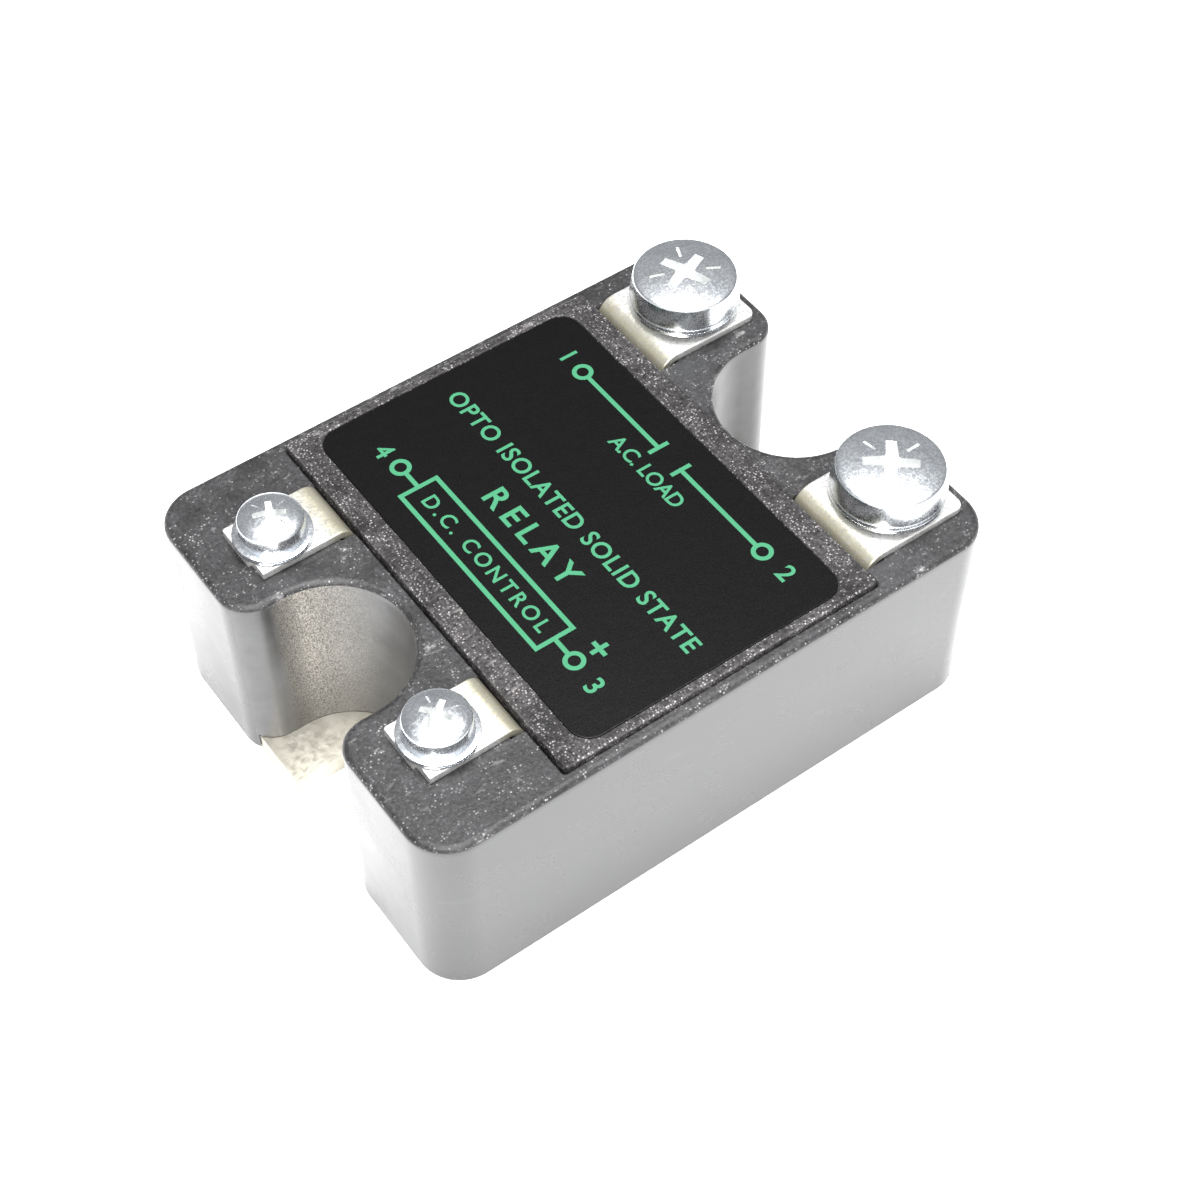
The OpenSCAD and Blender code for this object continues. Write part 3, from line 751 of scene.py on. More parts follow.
@dataclass
class Finishes:
    """All materials of the relay, by plain name."""

    effects: Effects
    made: dict[str, bpy.types.Material] = field(default_factory=dict)

    def build(self) -> None:
        """Make every finish."""
        brown, black, red, gold = (0.10, 0.03, 0.01), (0.01, 0.01, 0.01), (0.35, 0.01, 0.01), (0.45, 0.28, 0.05)
        recipes = {
            "grain": GrainedMoulding(),
            # Paler, more speckled grain on the edges: partly wear, partly a painted highlight.
            "edge_wear_and_highlight": GrainedMoulding(name="worn_and_highlit_edge_moulding", pale=(0.055, 0.053, 0.055), share=0.5,
                                          specular=0.36),
            "lid_grain": GrainedMoulding(name="lid_grained_moulding", pale=(0.075, 0.071, 0.072),
                                         speck=(0.30, 0.285, 0.28), share=0.66, specular=0.11),
            # The lid's rim: paler still, partly wear and partly a painted highlight on the rounded edge.
            "lid_edge_wear_and_highlight": GrainedMoulding(name="lid_worn_and_highlit_edge", dark=(0.008, 0.0075, 0.008),
                                        pale=(0.110, 0.105, 0.106), share=0.75, specular=0.22),
            "polished": PolishedMoulding(),
            "rubbed": RubbedMoulding(),
            "film": Plain("label_film", (0.0016, 0.0016, 0.0017), (0.0022, 0.0021, 0.0023), 0.26, 0.0, 900.0, 0.05,
                          0.08, 0.13),
            "print": Plain("green_print", (0.025, 0.148, 0.072), (0.029, 0.160, 0.080), 0.5, 0.0, 1500.0, 0.03,
                           specular=0.25),
            # The tin's tint is painted shade on the bend beside the lid.
            "tin": Plating("tinned_strip", (0.80, 0.80, 0.78), (0.58, 0.57, 0.55), 0.80, 0.26, 0.42, 520.0, 0.12,
                           tint=(0.34, 0.31, 0.17)),
            "zinc": Plating("zinc_plated_steel", (0.84, 0.87, 0.90), (0.66, 0.69, 0.73), 1.0, 0.20, 0.29, 600.0,
                            0.03, (900.0, 700.0, 900.0)),
            # Darker, duller zinc in the cross recess: painted shade.
            "shaded_zinc_recess": Plating("shaded_zinc_recess", (0.80, 0.81, 0.80), (0.56, 0.57, 0.57), 0.85, 0.42, 0.58, 1300.0,
                                   0.15, (900.0, 700.0, 900.0)),
            "nut_zinc": Plating("zinc_plated_nut", (0.62, 0.63, 0.62), (0.42, 0.42, 0.40), 1.0, 0.25, 0.42, 600.0),
            "nickel": Plating("nickel_plate", (0.52, 0.50, 0.44), (0.33, 0.31, 0.25), 0.85, 0.32, 0.52, 260.0, 0.14,
                              (200.0, 1600.0, 400.0)),
            "bead": Plain("sealing_bead", (0.020, 0.016, 0.012), (0.055, 0.045, 0.035), 0.35, 0.0, 1400.0, 0.6),
            "solder": Plain("solder", (0.55, 0.55, 0.54), (0.40, 0.40, 0.40), 0.3, 1.0, 900.0, 0.3),
            "ceramic": Plain("alumina", (0.80, 0.78, 0.74), (0.72, 0.70, 0.67), 0.55, 0.0, 1500.0, 0.08),
            "copper": Plain("copper", (0.80, 0.38, 0.24), (0.60, 0.26, 0.16), 0.28, 1.0, 600.0, 0.12),
            "silicon": Plain("silicon", (0.10, 0.11, 0.14), (0.16, 0.16, 0.19), 0.12, 0.6, 400.0, 0.02),
            "board": Plain("circuit_board", (0.02, 0.11, 0.05), (0.03, 0.16, 0.07), 0.4, 0.0, 350.0, 0.08),
            "resin": Plain("black_resin", (0.015, 0.015, 0.016), (0.03, 0.03, 0.03), 0.45, 0.0, 2500.0, 0.2),
            "dip": Plain("capacitor_dip", (0.45, 0.16, 0.03), (0.34, 0.11, 0.02), 0.3, 0.0, 500.0, 0.15),
            "gel": Gel(),
            **{name: Banded(name, (0.55, 0.42, 0.26), (
                (-0.0019, brown), (-0.0009, second), (0.0001, third), (0.0018, gold)), middle)
               for name, second, third, middle in (("resistor_input", black, red, 0.0),
                                                   ("resistor_gate_a", brown, black, 0.0085),
                                                   ("resistor_gate_b", brown, black, -0.0085))},
            "diode": Banded("diode_glass", (0.50, 0.14, 0.05), ((0.0013, black),), -0.010),
        }
        self.made = {key: recipe.make(self.effects) for key, recipe in recipes.items()}

    def dress(self, piece: bpy.types.Object, *names: str) -> None:
        """Give a piece these finishes as its slots, in order; the faces keep their slot numbers."""
        piece.data.materials.clear()
        for name in names:
            piece.data.materials.append(self.made[name])


# ---------------------------------------------------------------------------
# The relay
# ---------------------------------------------------------------------------


@dataclass
class Moulding:
    """The housing: end blocks, notches, cavity and the seats of everything that it holds."""

    finishes: Finishes
    corner: float = 4.0
    notch: float = 7.1
    notch_x: float = 24.2
    mouth: float = 3.0
    edge: float = 0.6
    floor_ledge: float = 2.15
    pocket_chamfer: float = 0.14
    leg_slots: tuple[tuple[float, ...], ...] = (
        (1, 15.0, 17.6, 18.5, 19.0, 14.3, 5.0),
        (-1, 13.0, 16.9, 17.2, 19.6, 12.6, 3.3),
    )
    nut_hexes: tuple[tuple[float, float, float, float, float], ...] = (
        (22.9, 14.3, 4.72, 16.2, 2.8),
        (-21.8, 12.6, 3.28, 17.7, 1.8),
    )

    def outline(self) -> tuple[Array, Array]:
        """Outline of the moulding seen from above, with its inward directions.

        Returns:
            One quarter is worked out as arcs: the notch, the mouth of the notch and the upright corner.
            The other three are its mirror images, each run so that the whole goes anticlockwise.
        """
        end_x, side_y = node_box("housing")[1][:2]
        notch, out_notch = arc((self.notch_x, 0.0), self.notch, 180.0, 90.0, 25)
        lip_x, lip_y = end_x - self.mouth, self.notch + self.mouth
        lip, out_lip = arc((lip_x, lip_y), self.mouth, -90.0, 0.0, 11)
        corner, out_corner = arc((end_x - self.corner, side_y - self.corner), self.corner, 0.0, 90.0, 13)
        quarter = np.vstack([notch, lip, corner, [[0.0, side_y]]])
        inward = np.vstack([out_notch, -out_lip, -out_corner, [[0.0, -1.0]]])
        across, along = np.array([-1.0, 1.0]), np.array([1.0, -1.0])
        points = np.vstack([quarter[:-1], (quarter * across)[::-1][:-1], (-quarter)[:-1], (quarter * along)[::-1][:-1]])
        steps = np.vstack([inward[:-1], (inward * across)[::-1][:-1], (-inward)[:-1], (inward * along)[::-1][:-1]])
        return points, steps

    def plate_seats(self) -> list[Shell]:
        """Tools for the rebate that takes the base plate."""
        low, high = node_box("base_plate")
        gap = 0.1
        main, _ = rounded_box_outline((-26.4 - gap, low[1] - gap), (26.4 + gap, high[1] + gap), 1.5)
        tongue = box_shell((low[0] - gap, -9.6, -1.0), (high[0] + gap, 9.6, self.floor_ledge))
        return [prism_shell(main, -1.0, self.floor_ledge), tongue]

    def cavities(self) -> list[Shell]:
        """Tools for the cavity, the side bays, the lid pocket and the slots for the legs."""
        lid_low, lid_high = node_box("lid")
        top = node_box("housing")[1][2]
        inner_y = node_box("potting_gel")[1][1]
        tools = [box_shell((-14.0, -inner_y, 1.5), (15.2, inner_y, lid_low[2] + 0.01))]
        gap, end_gap, flare = 0.05, 0.2, self.pocket_chamfer
        low = (lid_low[0] - end_gap, lid_low[1] - gap)
        high = (lid_high[0] + end_gap, lid_high[1] + gap)
        outline, inward = rounded_box_outline(low, high, 0.25, 3)
        tools.append(loft(raised(outline, inward, [
            (0.0, lid_low[2]), (0.0, top - flare), (-flare, top), (-flare, top + 1.0)])))
        for side in (-1, 1):
            for across, bay_low, bay_high, bend_end, bend_z, middle, pad in self.leg_slots:
                y = sorted((side * (middle - pad), side * (middle + pad)))
                for x0, x1, z0, z1 in (
                    (bay_low, bay_high, 1.5, lid_low[2] + 0.01),
                    (15.0, bay_high, lid_low[2] - 1.0, top + 1.0),
                    (15.0, bend_end, bend_z, top + 1.0),
                ):
                    x = sorted((across * x0, across * x1))
                    tools.append(box_shell((x[0], y[0], z0), (x[1], y[1], z1)))
        return tools

    def nut_seats(self) -> list[Shell]:
        """Tools for the hexagon pockets and the bores under them."""
        tools = []
        for x, y, radius, low, bore in self.nut_hexes:
            for side in (-1, 1):
                hexagon, _ = arc((x, side * y), radius, 30.0, 330.0, 6)
                tools.append(prism_shell(hexagon, low, 30.0))
                hole, _ = circle_outline((x, side * y), bore, 32)
                tools.append(prism_shell(hole, low - 4.6, low + 1.0))
        return tools

    def make(self) -> bpy.types.Object:
        """Build the moulding and dress its walls and its top."""
        low, high = node_box("housing")
        outline, inward = self.outline()
        steps = [(0.12, low[2]), (0.0, low[2] + 0.12), (0.0, low[2] + 0.4), (0.0, high[2] - self.edge - 0.4),
                 *quarter_round(self.edge, high[2], self.edge, 6), (self.edge + 0.06, high[2])]
        piece = make_object("housing_shell", loft(raised(outline, inward, steps)))
        combine(piece, [*self.plate_seats(), *self.cavities(), *self.nut_seats()], smooth=30.0)
        centres, normals = face_table(piece)
        self.finishes.dress(piece, "grain", "edge_wear_and_highlight", "polished", "rubbed")
        skin, level, slant = 0.3, 0.93, 0.35
        end_x, side_y = high[0] - skin, high[1] - skin
        outer = (np.abs(centres[:, 0]) > end_x) | (np.abs(centres[:, 1]) > side_y)
        rounded = np.hypot(np.abs(centres[:, 0]) - high[0] + self.corner, np.abs(centres[:, 1]) - high[1] + self.corner)
        outer |= (rounded > self.corner - skin) & (np.minimum(np.abs(centres[:, 0]) - high[0],
                                                             np.abs(centres[:, 1]) - high[1]) > -self.corner)
        upright = np.abs(normals[:, 2])
        # Flat tops take the grain; slanted edge faces take a paler, more speckled grain that is partly wear and partly
        # a painted highlight; outer walls are polished and inner walls rubbed.
        finish = np.where(upright > level, 0, np.where(upright > slant, 1, np.where(outer, 2, 3)))
        piece.data.polygons.foreach_set("material_index", finish.astype(np.int32))
        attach(piece, "body")
        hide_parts("housing")
        return piece


@dataclass
class Lid:
    """The lid plate with its sunk field, the label in it and the print on the label."""

    finishes: Finishes
    edge: float = 0.2
    corner: float = 0.4
    field_gap: float = 0.1
    field_corner: float = 2.1
    stroke: float = 0.42
    film_lift: float = 0.012
    flat_share: float = 0.97

    def plate(self) -> bpy.types.Object:
        """Lid with a rounded rim and a field sunk for the label."""
        low, high = node_box("lid")
        film_low, film_high = node_box("label")
        rim, inward = rounded_box_outline((low[0], low[1]), (high[0], high[1]), self.corner, 9)
        loops = raised(rim, inward, [(0.0, low[2]), (0.0, high[2] - 0.8), *quarter_round(self.edge, high[2], self.edge),
                                     (self.edge + 0.05, high[2])])
        gap = self.field_gap
        sunk, sunk_inward = rounded_box_outline(
            (film_low[0] - gap, film_low[1] - gap), (film_high[0] + gap, film_high[1] + gap), self.field_corner, 9)
        steps = [(-0.12, high[2]), (-0.06, high[2]), (0.0, high[2] - 0.05), (0.02, film_low[2])]
        floor = raised(sunk, sunk_inward, steps)
        piece = make_object("lid_plate", loft(np.concatenate([loops, floor])), 30.0)
        centres, normals = face_table(piece)
        self.finishes.dress(piece, "lid_grain", "lid_edge_wear_and_highlight")
        # Rounded rim faces take a paler, more speckled grain: partly wear, partly a painted highlight on the edge.
        worn_and_highlit = (np.abs(normals[:, 2]) < self.flat_share) & (centres[:, 2] > high[2] - self.edge)
        piece.data.polygons.foreach_set("material_index", worn_and_highlit.astype(np.int32))
        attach(piece, "body")
        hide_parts("lid")
        return piece

    def film(self) -> bpy.types.Object:
        """Label film with a fine rounded edge."""
        low, high = node_box("label")
        outline, inward = rounded_box_outline((low[0], low[1]), (high[0], high[1]), 2.0, 13)
        top = high[2] - self.film_lift
        steps = [(0.0, low[2]), *quarter_round(0.04, top, 0.04, 3), (0.08, top)]
        piece = make_object("label_film", loft(raised(outline, inward, steps)), 30.0)
        self.finishes.dress(piece, "film")
        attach(piece, "body")
        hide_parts("label")
        return piece

    def stroke_shell(self, start: tuple[float, float], end: tuple[float, float], width: float) -> Shell:
        """Flat printed line of a width between two points, its ends square."""
        low, high = self.print_heights()
        a, b = np.array(start), np.array(end)
        along = (b - a) / np.linalg.norm(b - a)
        side = np.array([-along[1], along[0]]) * width / 2
        reach = along * width / 2
        outline = np.array([a - reach - side, b + reach - side, b + reach + side, a - reach + side])
        return prism_shell(outline, low, high)

    def ring(self, centre: tuple[float, float], radius: float, width: float) -> Shell:
        """Flat printed ring of a mid radius and a stroke width."""
        low, high = self.print_heights()
        inner, outer = radius - width / 2, radius + width / 2
        return ring_shell([(inner, low), (outer, low), (outer, high), (inner, high)], centre, 40)

    def print_heights(self) -> tuple[float, float]:
        """Lowest and highest level of the ink."""
        top = node_box("label")[1][2]
        return top - self.film_lift - 0.01, top

    def words(self, text: str, at: tuple[float, float], height: float, length: float | None = None,
              weight: float = 0.0) -> bpy.types.Object:
        """Lettering that reads along -Y with its feet towards the control end.

        Args:
            text: The letters.
            at: Middle of the base line.
            height: Height of a capital.
            length: Length to spread the letters over, or None for their own.
            weight: How much to fatten the strokes.

        Returns:
            A flat mesh in place.
        """
        low, high = self.print_heights()
        curve = bpy.data.curves.new("ink", "FONT")
        curve.body = text
        curve.align_x = "CENTER"
        curve.size = height / 0.70
        curve.offset = weight
        curve.resolution_u = 4
        letters = add_object("ink", curve)
        bpy.context.view_layer.update()
        own = max(letters.dimensions.x, 0.001)
        if length is not None:
            curve.space_character = 1.0 + (length - own) / own * 1.15
            bpy.context.view_layer.update()
            own = max(letters.dimensions.x, 0.001)
        stretch = 1.0 if length is None else length / own
        curve.extrude = (high - low) / 2
        graph = bpy.context.evaluated_depsgraph_get()
        mesh = bpy.data.meshes.new_from_object(letters.evaluated_get(graph), depsgraph=graph)
        bpy.data.objects.remove(letters)
        bpy.data.curves.remove(curve)
        place = Matrix(((0.0, 1.0, 0.0, at[0]), (-stretch, 0.0, 0.0, at[1]), (0.0, 0.0, 1.0, (low + high) / 2),
                        (0.0, 0.0, 0.0, 1.0)))
        mesh.transform(Matrix.Scale(MM, 4) @ place)
        return add_object("ink", mesh)

    def diagram(self) -> list[Shell]:
        """Contact symbol, control box, terminal rings and the plus sign, as strokes and rings."""
        width = self.stroke
        load_x, control_x, ring_y = 10.45, -8.9, 12.9
        box_low, box_high, box_y = -10.7, -7.05, 10.1
        shells = [self.ring((x, y), 0.76, width) for x in (load_x, control_x) for y in (ring_y, -ring_y)]
        lines = [
            ((load_x, 11.8), (load_x, 1.75)), ((load_x, -1.75), (load_x, -11.8)),
            ((load_x - 0.85, 1.6), (load_x + 0.85, 1.6)), ((load_x - 0.85, -1.6), (load_x + 0.85, -1.6)),
            ((box_low, box_y), (box_high, box_y)), ((box_high, box_y), (box_high, -box_y)),
            ((box_high, -box_y), (box_low, -box_y)), ((box_low, -box_y), (box_low, box_y)),
            ((control_x, 11.8), (control_x, box_y)), ((control_x, -box_y), (control_x, -11.8)),
            ((-7.2, -13.1), (-5.9, -13.1)), ((-6.55, -12.45), (-6.55, -13.75)),
        ]
        return shells + [self.stroke_shell(start, end, width) for start, end in lines]

    def ink(self) -> bpy.types.Object:
        """All the print as one piece of thin ink."""
        first, *rest = self.diagram()
        base = make_object("label_print", first, 30.0)
        combine(base, rest, "UNION", 30.0)
        texts = [
            self.words("1", (9.75, 15.3), 1.75, weight=0.045),
            self.words("2", (9.75, -15.9), 1.75, weight=0.045),
            self.words("4", (-9.9, 15.3), 1.75, weight=0.045),
            self.words("3", (-9.9, -15.9), 1.75, weight=0.045),
            self.words("A.C. LOAD", (7.3, 0.0), 1.45, 9.6, weight=0.035),
            self.words("OPTO ISOLATED SOLID STATE", (-1.15, -0.1), 1.65, 35.2, weight=0.045),
            self.words("RELAY", (-5.2, 0.0), 2.2, 12.2, weight=0.06),
            self.words("D.C. CONTROL", (-9.6, -0.1), 1.4, 17.6, weight=0.035),
        ]
        join(base, texts)
        base.data.polygons.foreach_set("use_smooth", [False] * len(base.data.polygons))
        self.finishes.dress(base, "print")
        base.data.polygons.foreach_set("material_index", [0] * len(base.data.polygons))
        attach(base, "body")
        return base

    def make(self) -> list[bpy.types.Object]:
        """Build the lid, the film and the ink."""
        return [self.plate(), self.film(), self.ink()]


@dataclass
class Strip:
    """A terminal: a flat tinned strip with a hole, bent down into the housing beside the lid."""

    finishes: Finishes
    node: str
    sign: int
    hole: float
    hole_x: float
    corner: float
    leg_width: float
    foot_z: float
    foot_x: float
    leg: float
    bend: float
    leg_in: float
    thick: float = 0.8
    step_share: float = 0.0
    step_depth: float = 0.35

    def path(self) -> tuple[Array, Array, Array]:
        """Middle line of the strip.

        Returns:
            Points (distance from the middle of the relay, height), the unit directions along them, and the
            half width at each, from the free end, round the bend, down the leg and along the foot. The bend
            is a quarter circle about (leg + bend, top - bend). Near the free end the half width follows the
            rounded corners: half - r + sqrt(r^2 - (r - d)^2), d being the distance from the end.
        """
        low, high = node_box(self.node)
        reach = np.abs([low[0], high[0]])
        end = reach.max()
        top = high[2]
        leg = self.leg
        half = (high[1] - low[1]) / 2
        radius = self.bend - self.thick / 2
        centre = (leg + self.bend, top - self.bend)
        d = self.corner * (1.0 - np.cos(np.radians(np.linspace(0.0, 90.0, 7))))
        taper = half - self.corner + np.sqrt(np.maximum(self.corner**2 - (self.corner - d) ** 2, 0.0))
        middle = top - self.thick / 2
        ends = np.stack([end - d, np.full_like(d, middle)], axis=-1)
        ends = np.vstack([ends, [[centre[0] + 0.2, middle]]])
        taper = np.append(taper, half)
        a = np.radians(np.linspace(90.0, 180.0, 13))
        turn = np.stack([centre[0] + radius * np.cos(a), centre[1] + radius * np.sin(a)], axis=-1)
        leg_x = leg + self.thick / 2
        shoulder = top - self.bend - 2.0
        down = np.array([[leg_x, shoulder], [leg_x, shoulder - 0.01], [leg_x, self.foot_z + self.thick * 1.2]])
        foot = self.foot_z + self.thick / 2
        knee = np.array([[leg_x - self.thick * 0.35, foot], [self.foot_x, foot]])
        points = np.vstack([ends, turn, down, knee])
        narrow = np.full(4, self.leg_width / 2)
        widths = np.concatenate([taper, np.full(len(turn), half), [half], narrow])
        along = np.gradient(points, axis=0)
        along /= np.linalg.norm(along, axis=1, keepdims=True)
        return points, along, widths

    def shell(self) -> Shell:
        """Carry a flat oblong with rounded edges along the path.

        Returns:
            The closed strip: point = path + u * thickness across the path + v * half width along Y, with (u, v)
            running round the oblong.
        """
        low, high = node_box(self.node)
        points, along, widths = self.path()
        middle = (low[1] + high[1]) / 2
        edge = 0.12
        corners, _ = rounded_box_outline((-self.thick / 2, -1.0), (self.thick / 2, 1.0), edge, 4)
        flank, rest_v = self.thick / 2, 1.0 - edge - 0.02
        outline = np.vstack([corners[:4], [[flank, -rest_v], [flank, rest_v]], corners[4:12],
                             [[-flank, rest_v], [-flank, -rest_v]], corners[12:]])
        nearest = np.clip(outline[:, 1], -1.0 + edge, 1.0 - edge)
        rest = outline[:, 1] - nearest
        sideways = nearest[None] / (1.0 - edge) * (widths[:, None] - edge) + rest[None]
        normal = np.stack([-along[:, 1], along[:, 0]], axis=-1)
        across = outline[None, :, 0]
        x = points[:, :1] + normal[:, :1] * across
        z = points[:, 1:] + normal[:, 1:] * across
        narrow = widths < (high[1] - low[1]) / 2 - 1.0
        shift = middle - np.where(narrow, self.leg_offset(), 0.0)
        loops = np.stack([self.sign * x, sideways + shift[:, None], z], axis=-1)
        loops = loops if self.sign > 0 else loops[:, ::-1]
        return loft(loops[::-1])

    def leg_offset(self) -> float:
        """How far the leg stands off the middle of the plate, towards the relay's centre line."""
        return math.copysign(self.leg_in, node_box(self.node)[0][1])

    def make(self) -> bpy.types.Object:
        """Build the strip, drill it and step its outer edge."""
        low, high = node_box(self.node)
        middle = (low[1] + high[1]) / 2
        piece = make_object(f"{self.node}_strip", self.shell(), 35.0)
        piece.data.validate()
        tools = [prism_shell(circle_outline((self.sign * self.hole_x, middle), self.hole, 48)[0],
                             high[2] - 1.5, high[2] + 1.0)]
        if self.step_share > 0.0:
            end = low[0] if self.sign < 0 else high[0]
            limit = low[1] + (high[1] - low[1]) * self.step_share
            tools.append(box_shell((end - 1.0, low[1] - 1.0, high[2] - 1.5),
                                   (end + self.step_depth, limit, high[2] + 1.0)))
        combine(piece, tools)
        self.finishes.dress(piece, "tin")
        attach(piece, "body")
        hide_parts(self.node)
        return piece


@dataclass
class Screw:
    """A pan head screw with a cross recess, four tick marks and a cut thread."""

    finishes: Finishes
    node: str
    body: str
    turn: float
    pitch: float
    arm: float
    arm_width: float
    recess: float
    dome: float
    top_share: float
    tick: tuple[float, float, float] = (1.9, 3.3, 0.26)

    def places(self) -> tuple[tuple[float, float], float, float, float, float]:
        """Centre, head radius, underside of the head, top of the head and foot of the shank."""
        low, high = node_box(self.node)
        return middle_of(low, high), (high[0] - low[0]) / 2, self.underside(), high[2], low[2]

    def underside(self) -> float:
        """Level of the bearing face of the head."""
        washer = self.node.replace("screw", "washer")
        return float(node_box(washer)[1][2])

    def head(self) -> Shell:
        """Head as a surface of revolution: a coned side, a rounded shoulder and a shallow dome.

        The dome is height = top - sag * (r / rim)^2.
        """
        centre, radius, under, top, _ = self.places()
        rim = radius * self.top_share
        shoulder = top - self.dome
        side_top = shoulder - 0.30
        profile = [(radius - 0.16, under), (radius - 0.03, under + 0.06), (radius, under + 0.20),
                   (rim + 0.16, side_top)]
        a = np.radians(np.linspace(15.0, 75.0, 5))
        profile += list(zip((rim - 0.12 + 0.28 * np.cos(a)).tolist(), (shoulder - 0.28 + 0.28 * np.sin(a)).tolist()))
        r = np.linspace(rim - 0.16, 0.12, 14)
        profile += list(zip(r.tolist(), (top - self.dome * (r / rim) ** 2).tolist()))
        return turned_shell(profile, centre, 128)

    def cross(self) -> Shell:
        """Tool for the cross recess: a cross outline whose arms shorten and narrow on the way down."""
        centre, _, _, top, _ = self.places()
        loops = []
        for share, width, level in ((1.06, 1.12, 0.4), (1.0, 1.0, 0.0), (0.52, 0.70, -self.recess * 0.86),
                                    (0.24, 0.50, -self.recess)):
            a, w = self.arm * share, self.arm_width * width / 2
            k = w * 1.9
            base = np.array([[a, -w], [a, w], [k, w], [k * 0.72, k * 0.72]])
            quarter_turn = np.array([[0.0, 1.0], [-1.0, 0.0]])
            outline = np.vstack([base @ np.linalg.matrix_power(quarter_turn, n) for n in range(4)])
            loops.append(np.column_stack([outline, np.full(len(outline), top + level)]))
        shell = loft(np.array(loops[::-1]))
        return shell.shifted((centre[0], centre[1], 0.0)).turned(self.turn, centre)

    def ticks(self) -> list[Shell]:
        """Tools for the four short marks between the arms."""
        centre, radius, _, top, _ = self.places()
        start, end, width = (value * radius / 5.05 for value in self.tick)
        level = top - self.dome * 0.75
        shells = []
        for quarter in range(4):
            box = box_shell((centre[0] + start, centre[1] - width / 2, level - 0.14),
                            (centre[0] + end, centre[1] + width / 2, top + 0.5))
            shells.append(box.turned(self.turn + 45.0 + 90.0 * quarter, centre))
        return shells

    def thread(self) -> Shell:
        """Shank with its thread.

        The radius is core + depth * (1 - |2 t - 1|), t being the share of a turn that the point is up the
        helix, which gives a V thread, and it fades out at both ends.
        """
        centre, _, under, _, foot = self.places()
        crest = {"load": 2.45, "control": 1.45}[self.node.split("_")[0]]
        depth = self.pitch * 0.54
        columns, per_turn = 40, 6
        length = under - foot
        rows = int(length / self.pitch * per_turn) + 1
        z = np.linspace(0.0, length, rows)[:, None]
        a = np.linspace(0.0, 2 * np.pi, columns, endpoint=False)[None]
        t = (z / self.pitch - a / (2 * np.pi)) % 1.0
        fade = np.clip(np.minimum(z / self.pitch, (length - z) / (0.8 * self.pitch)), 0.0, 1.0)
        radius = crest - depth + depth * fade * (1.0 - np.abs(2.0 * t - 1.0))
        loops = np.stack([centre[0] + radius * np.cos(a), centre[1] + radius * np.sin(a),
                          foot + z + 0.0 * a], axis=-1)
        return loft(loops)

    def make(self) -> bpy.types.Object:
        """Build the head, cut its recess and marks, and add the shank."""
        piece = make_object(f"{self.node}_body", self.head(), 40.0)
        combine(piece, [self.cross(), *self.ticks()], smooth=32.0)
        shank = make_object("shank", self.thread(), 50.0)
        join(piece, [shank])
        self.finishes.dress(piece, "zinc", "shaded_zinc_recess")
        # Faces in the recess take the darker zinc, painted shade in the recess.
        piece.data.polygons.foreach_set("material_index", self.recess_faces(piece))
        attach(piece, self.body)
        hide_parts(self.node)
        return piece

    def recess_faces(self, piece: bpy.types.Object) -> Array:
        """One for each face that lies under the dome inside the rim, nought for the others."""
        centre, radius, under, top, _ = self.places()
        centres, _ = face_table(piece)
        r = np.hypot(centres[:, 0] - centre[0], centres[:, 1] - centre[1])
        rim = radius * self.top_share
        below = centres[:, 2] < top - self.dome * (r / rim) ** 2 - 0.035
        return (below & (r < 0.72 * rim) & (centres[:, 2] > under + 0.02)).astype(np.int32)


@dataclass
class Washer:
    """A captive washer: two thin rings pressed together, with a fine groove between them."""

    finishes: Finishes
    node: str
    body: str
    bore: float
    clear: float = 0.02

    def make(self) -> bpy.types.Object:
        """Build the washer as one turned ring with a grooved rim, a hair clear of the plate when tight."""
        low, high = node_box(self.node)
        foot = low[2] + self.clear
        centre = middle_of(low, high)
        radius = (high[0] - low[0]) / 2
        thick = high[2] - foot
        rim = [(0.06, 0.0), (0.45, 0.0), (0.50, 0.10), (0.56, 0.0), (0.94, 0.02), (1.0, 0.10)]
        profile = [(self.bore, foot), (radius - 0.12, foot)]
        profile += [(radius - inset, foot + share * thick) for share, inset in rim]
        profile += [(self.bore, high[2])]
        piece = make_object(f"{self.node}_ring", ring_shell(profile, centre, 96), 40.0)
        self.finishes.dress(piece, "zinc")
        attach(piece, self.body)
        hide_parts(self.node)
        return piece


@dataclass
class Insides:
    """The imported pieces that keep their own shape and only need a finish."""

    finishes: Finishes
    nodes: dict[str, bpy.types.Object]
    wear: dict[str, tuple[str, ...]] = field(default_factory=lambda: {
        "nickel": ("base_plate",),
        "bead": ("base_seal",),
        "nut_zinc": ("load_nut_1", "load_nut_2", "control_nut_3", "control_nut_4"),
        "solder": ("solder_layer",),
        "ceramic": ("ceramic_substrate",),
        "copper": ("copper_pad_1", "copper_pad_2", "strap_a", "strap_b", "gate_lead_a", "gate_lead_b"),
        "silicon": ("thyristor_a", "thyristor_b"),
        "board": ("circuit_board",),
        "resin": ("optocoupler", "transistor"),
        "resistor_input": ("input_resistor",),
        "resistor_gate_a": ("gate_resistor_a",),
        "resistor_gate_b": ("gate_resistor_b",),
        "diode": ("diode",),
        "dip": ("filter_capacitor",),
        "gel": ("potting_gel",),
    })

    def dress(self) -> int:
        """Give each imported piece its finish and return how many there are."""
        count = 0
        for finish, names in self.wear.items():
            for name in names:
                piece = self.nodes[name]
                self.finishes.dress(piece, finish)
                piece.data.polygons.foreach_set("material_index", [0] * len(piece.data.polygons))
                count += 1
        return count


# ---------------------------------------------------------------------------
# The studio
# ---------------------------------------------------------------------------


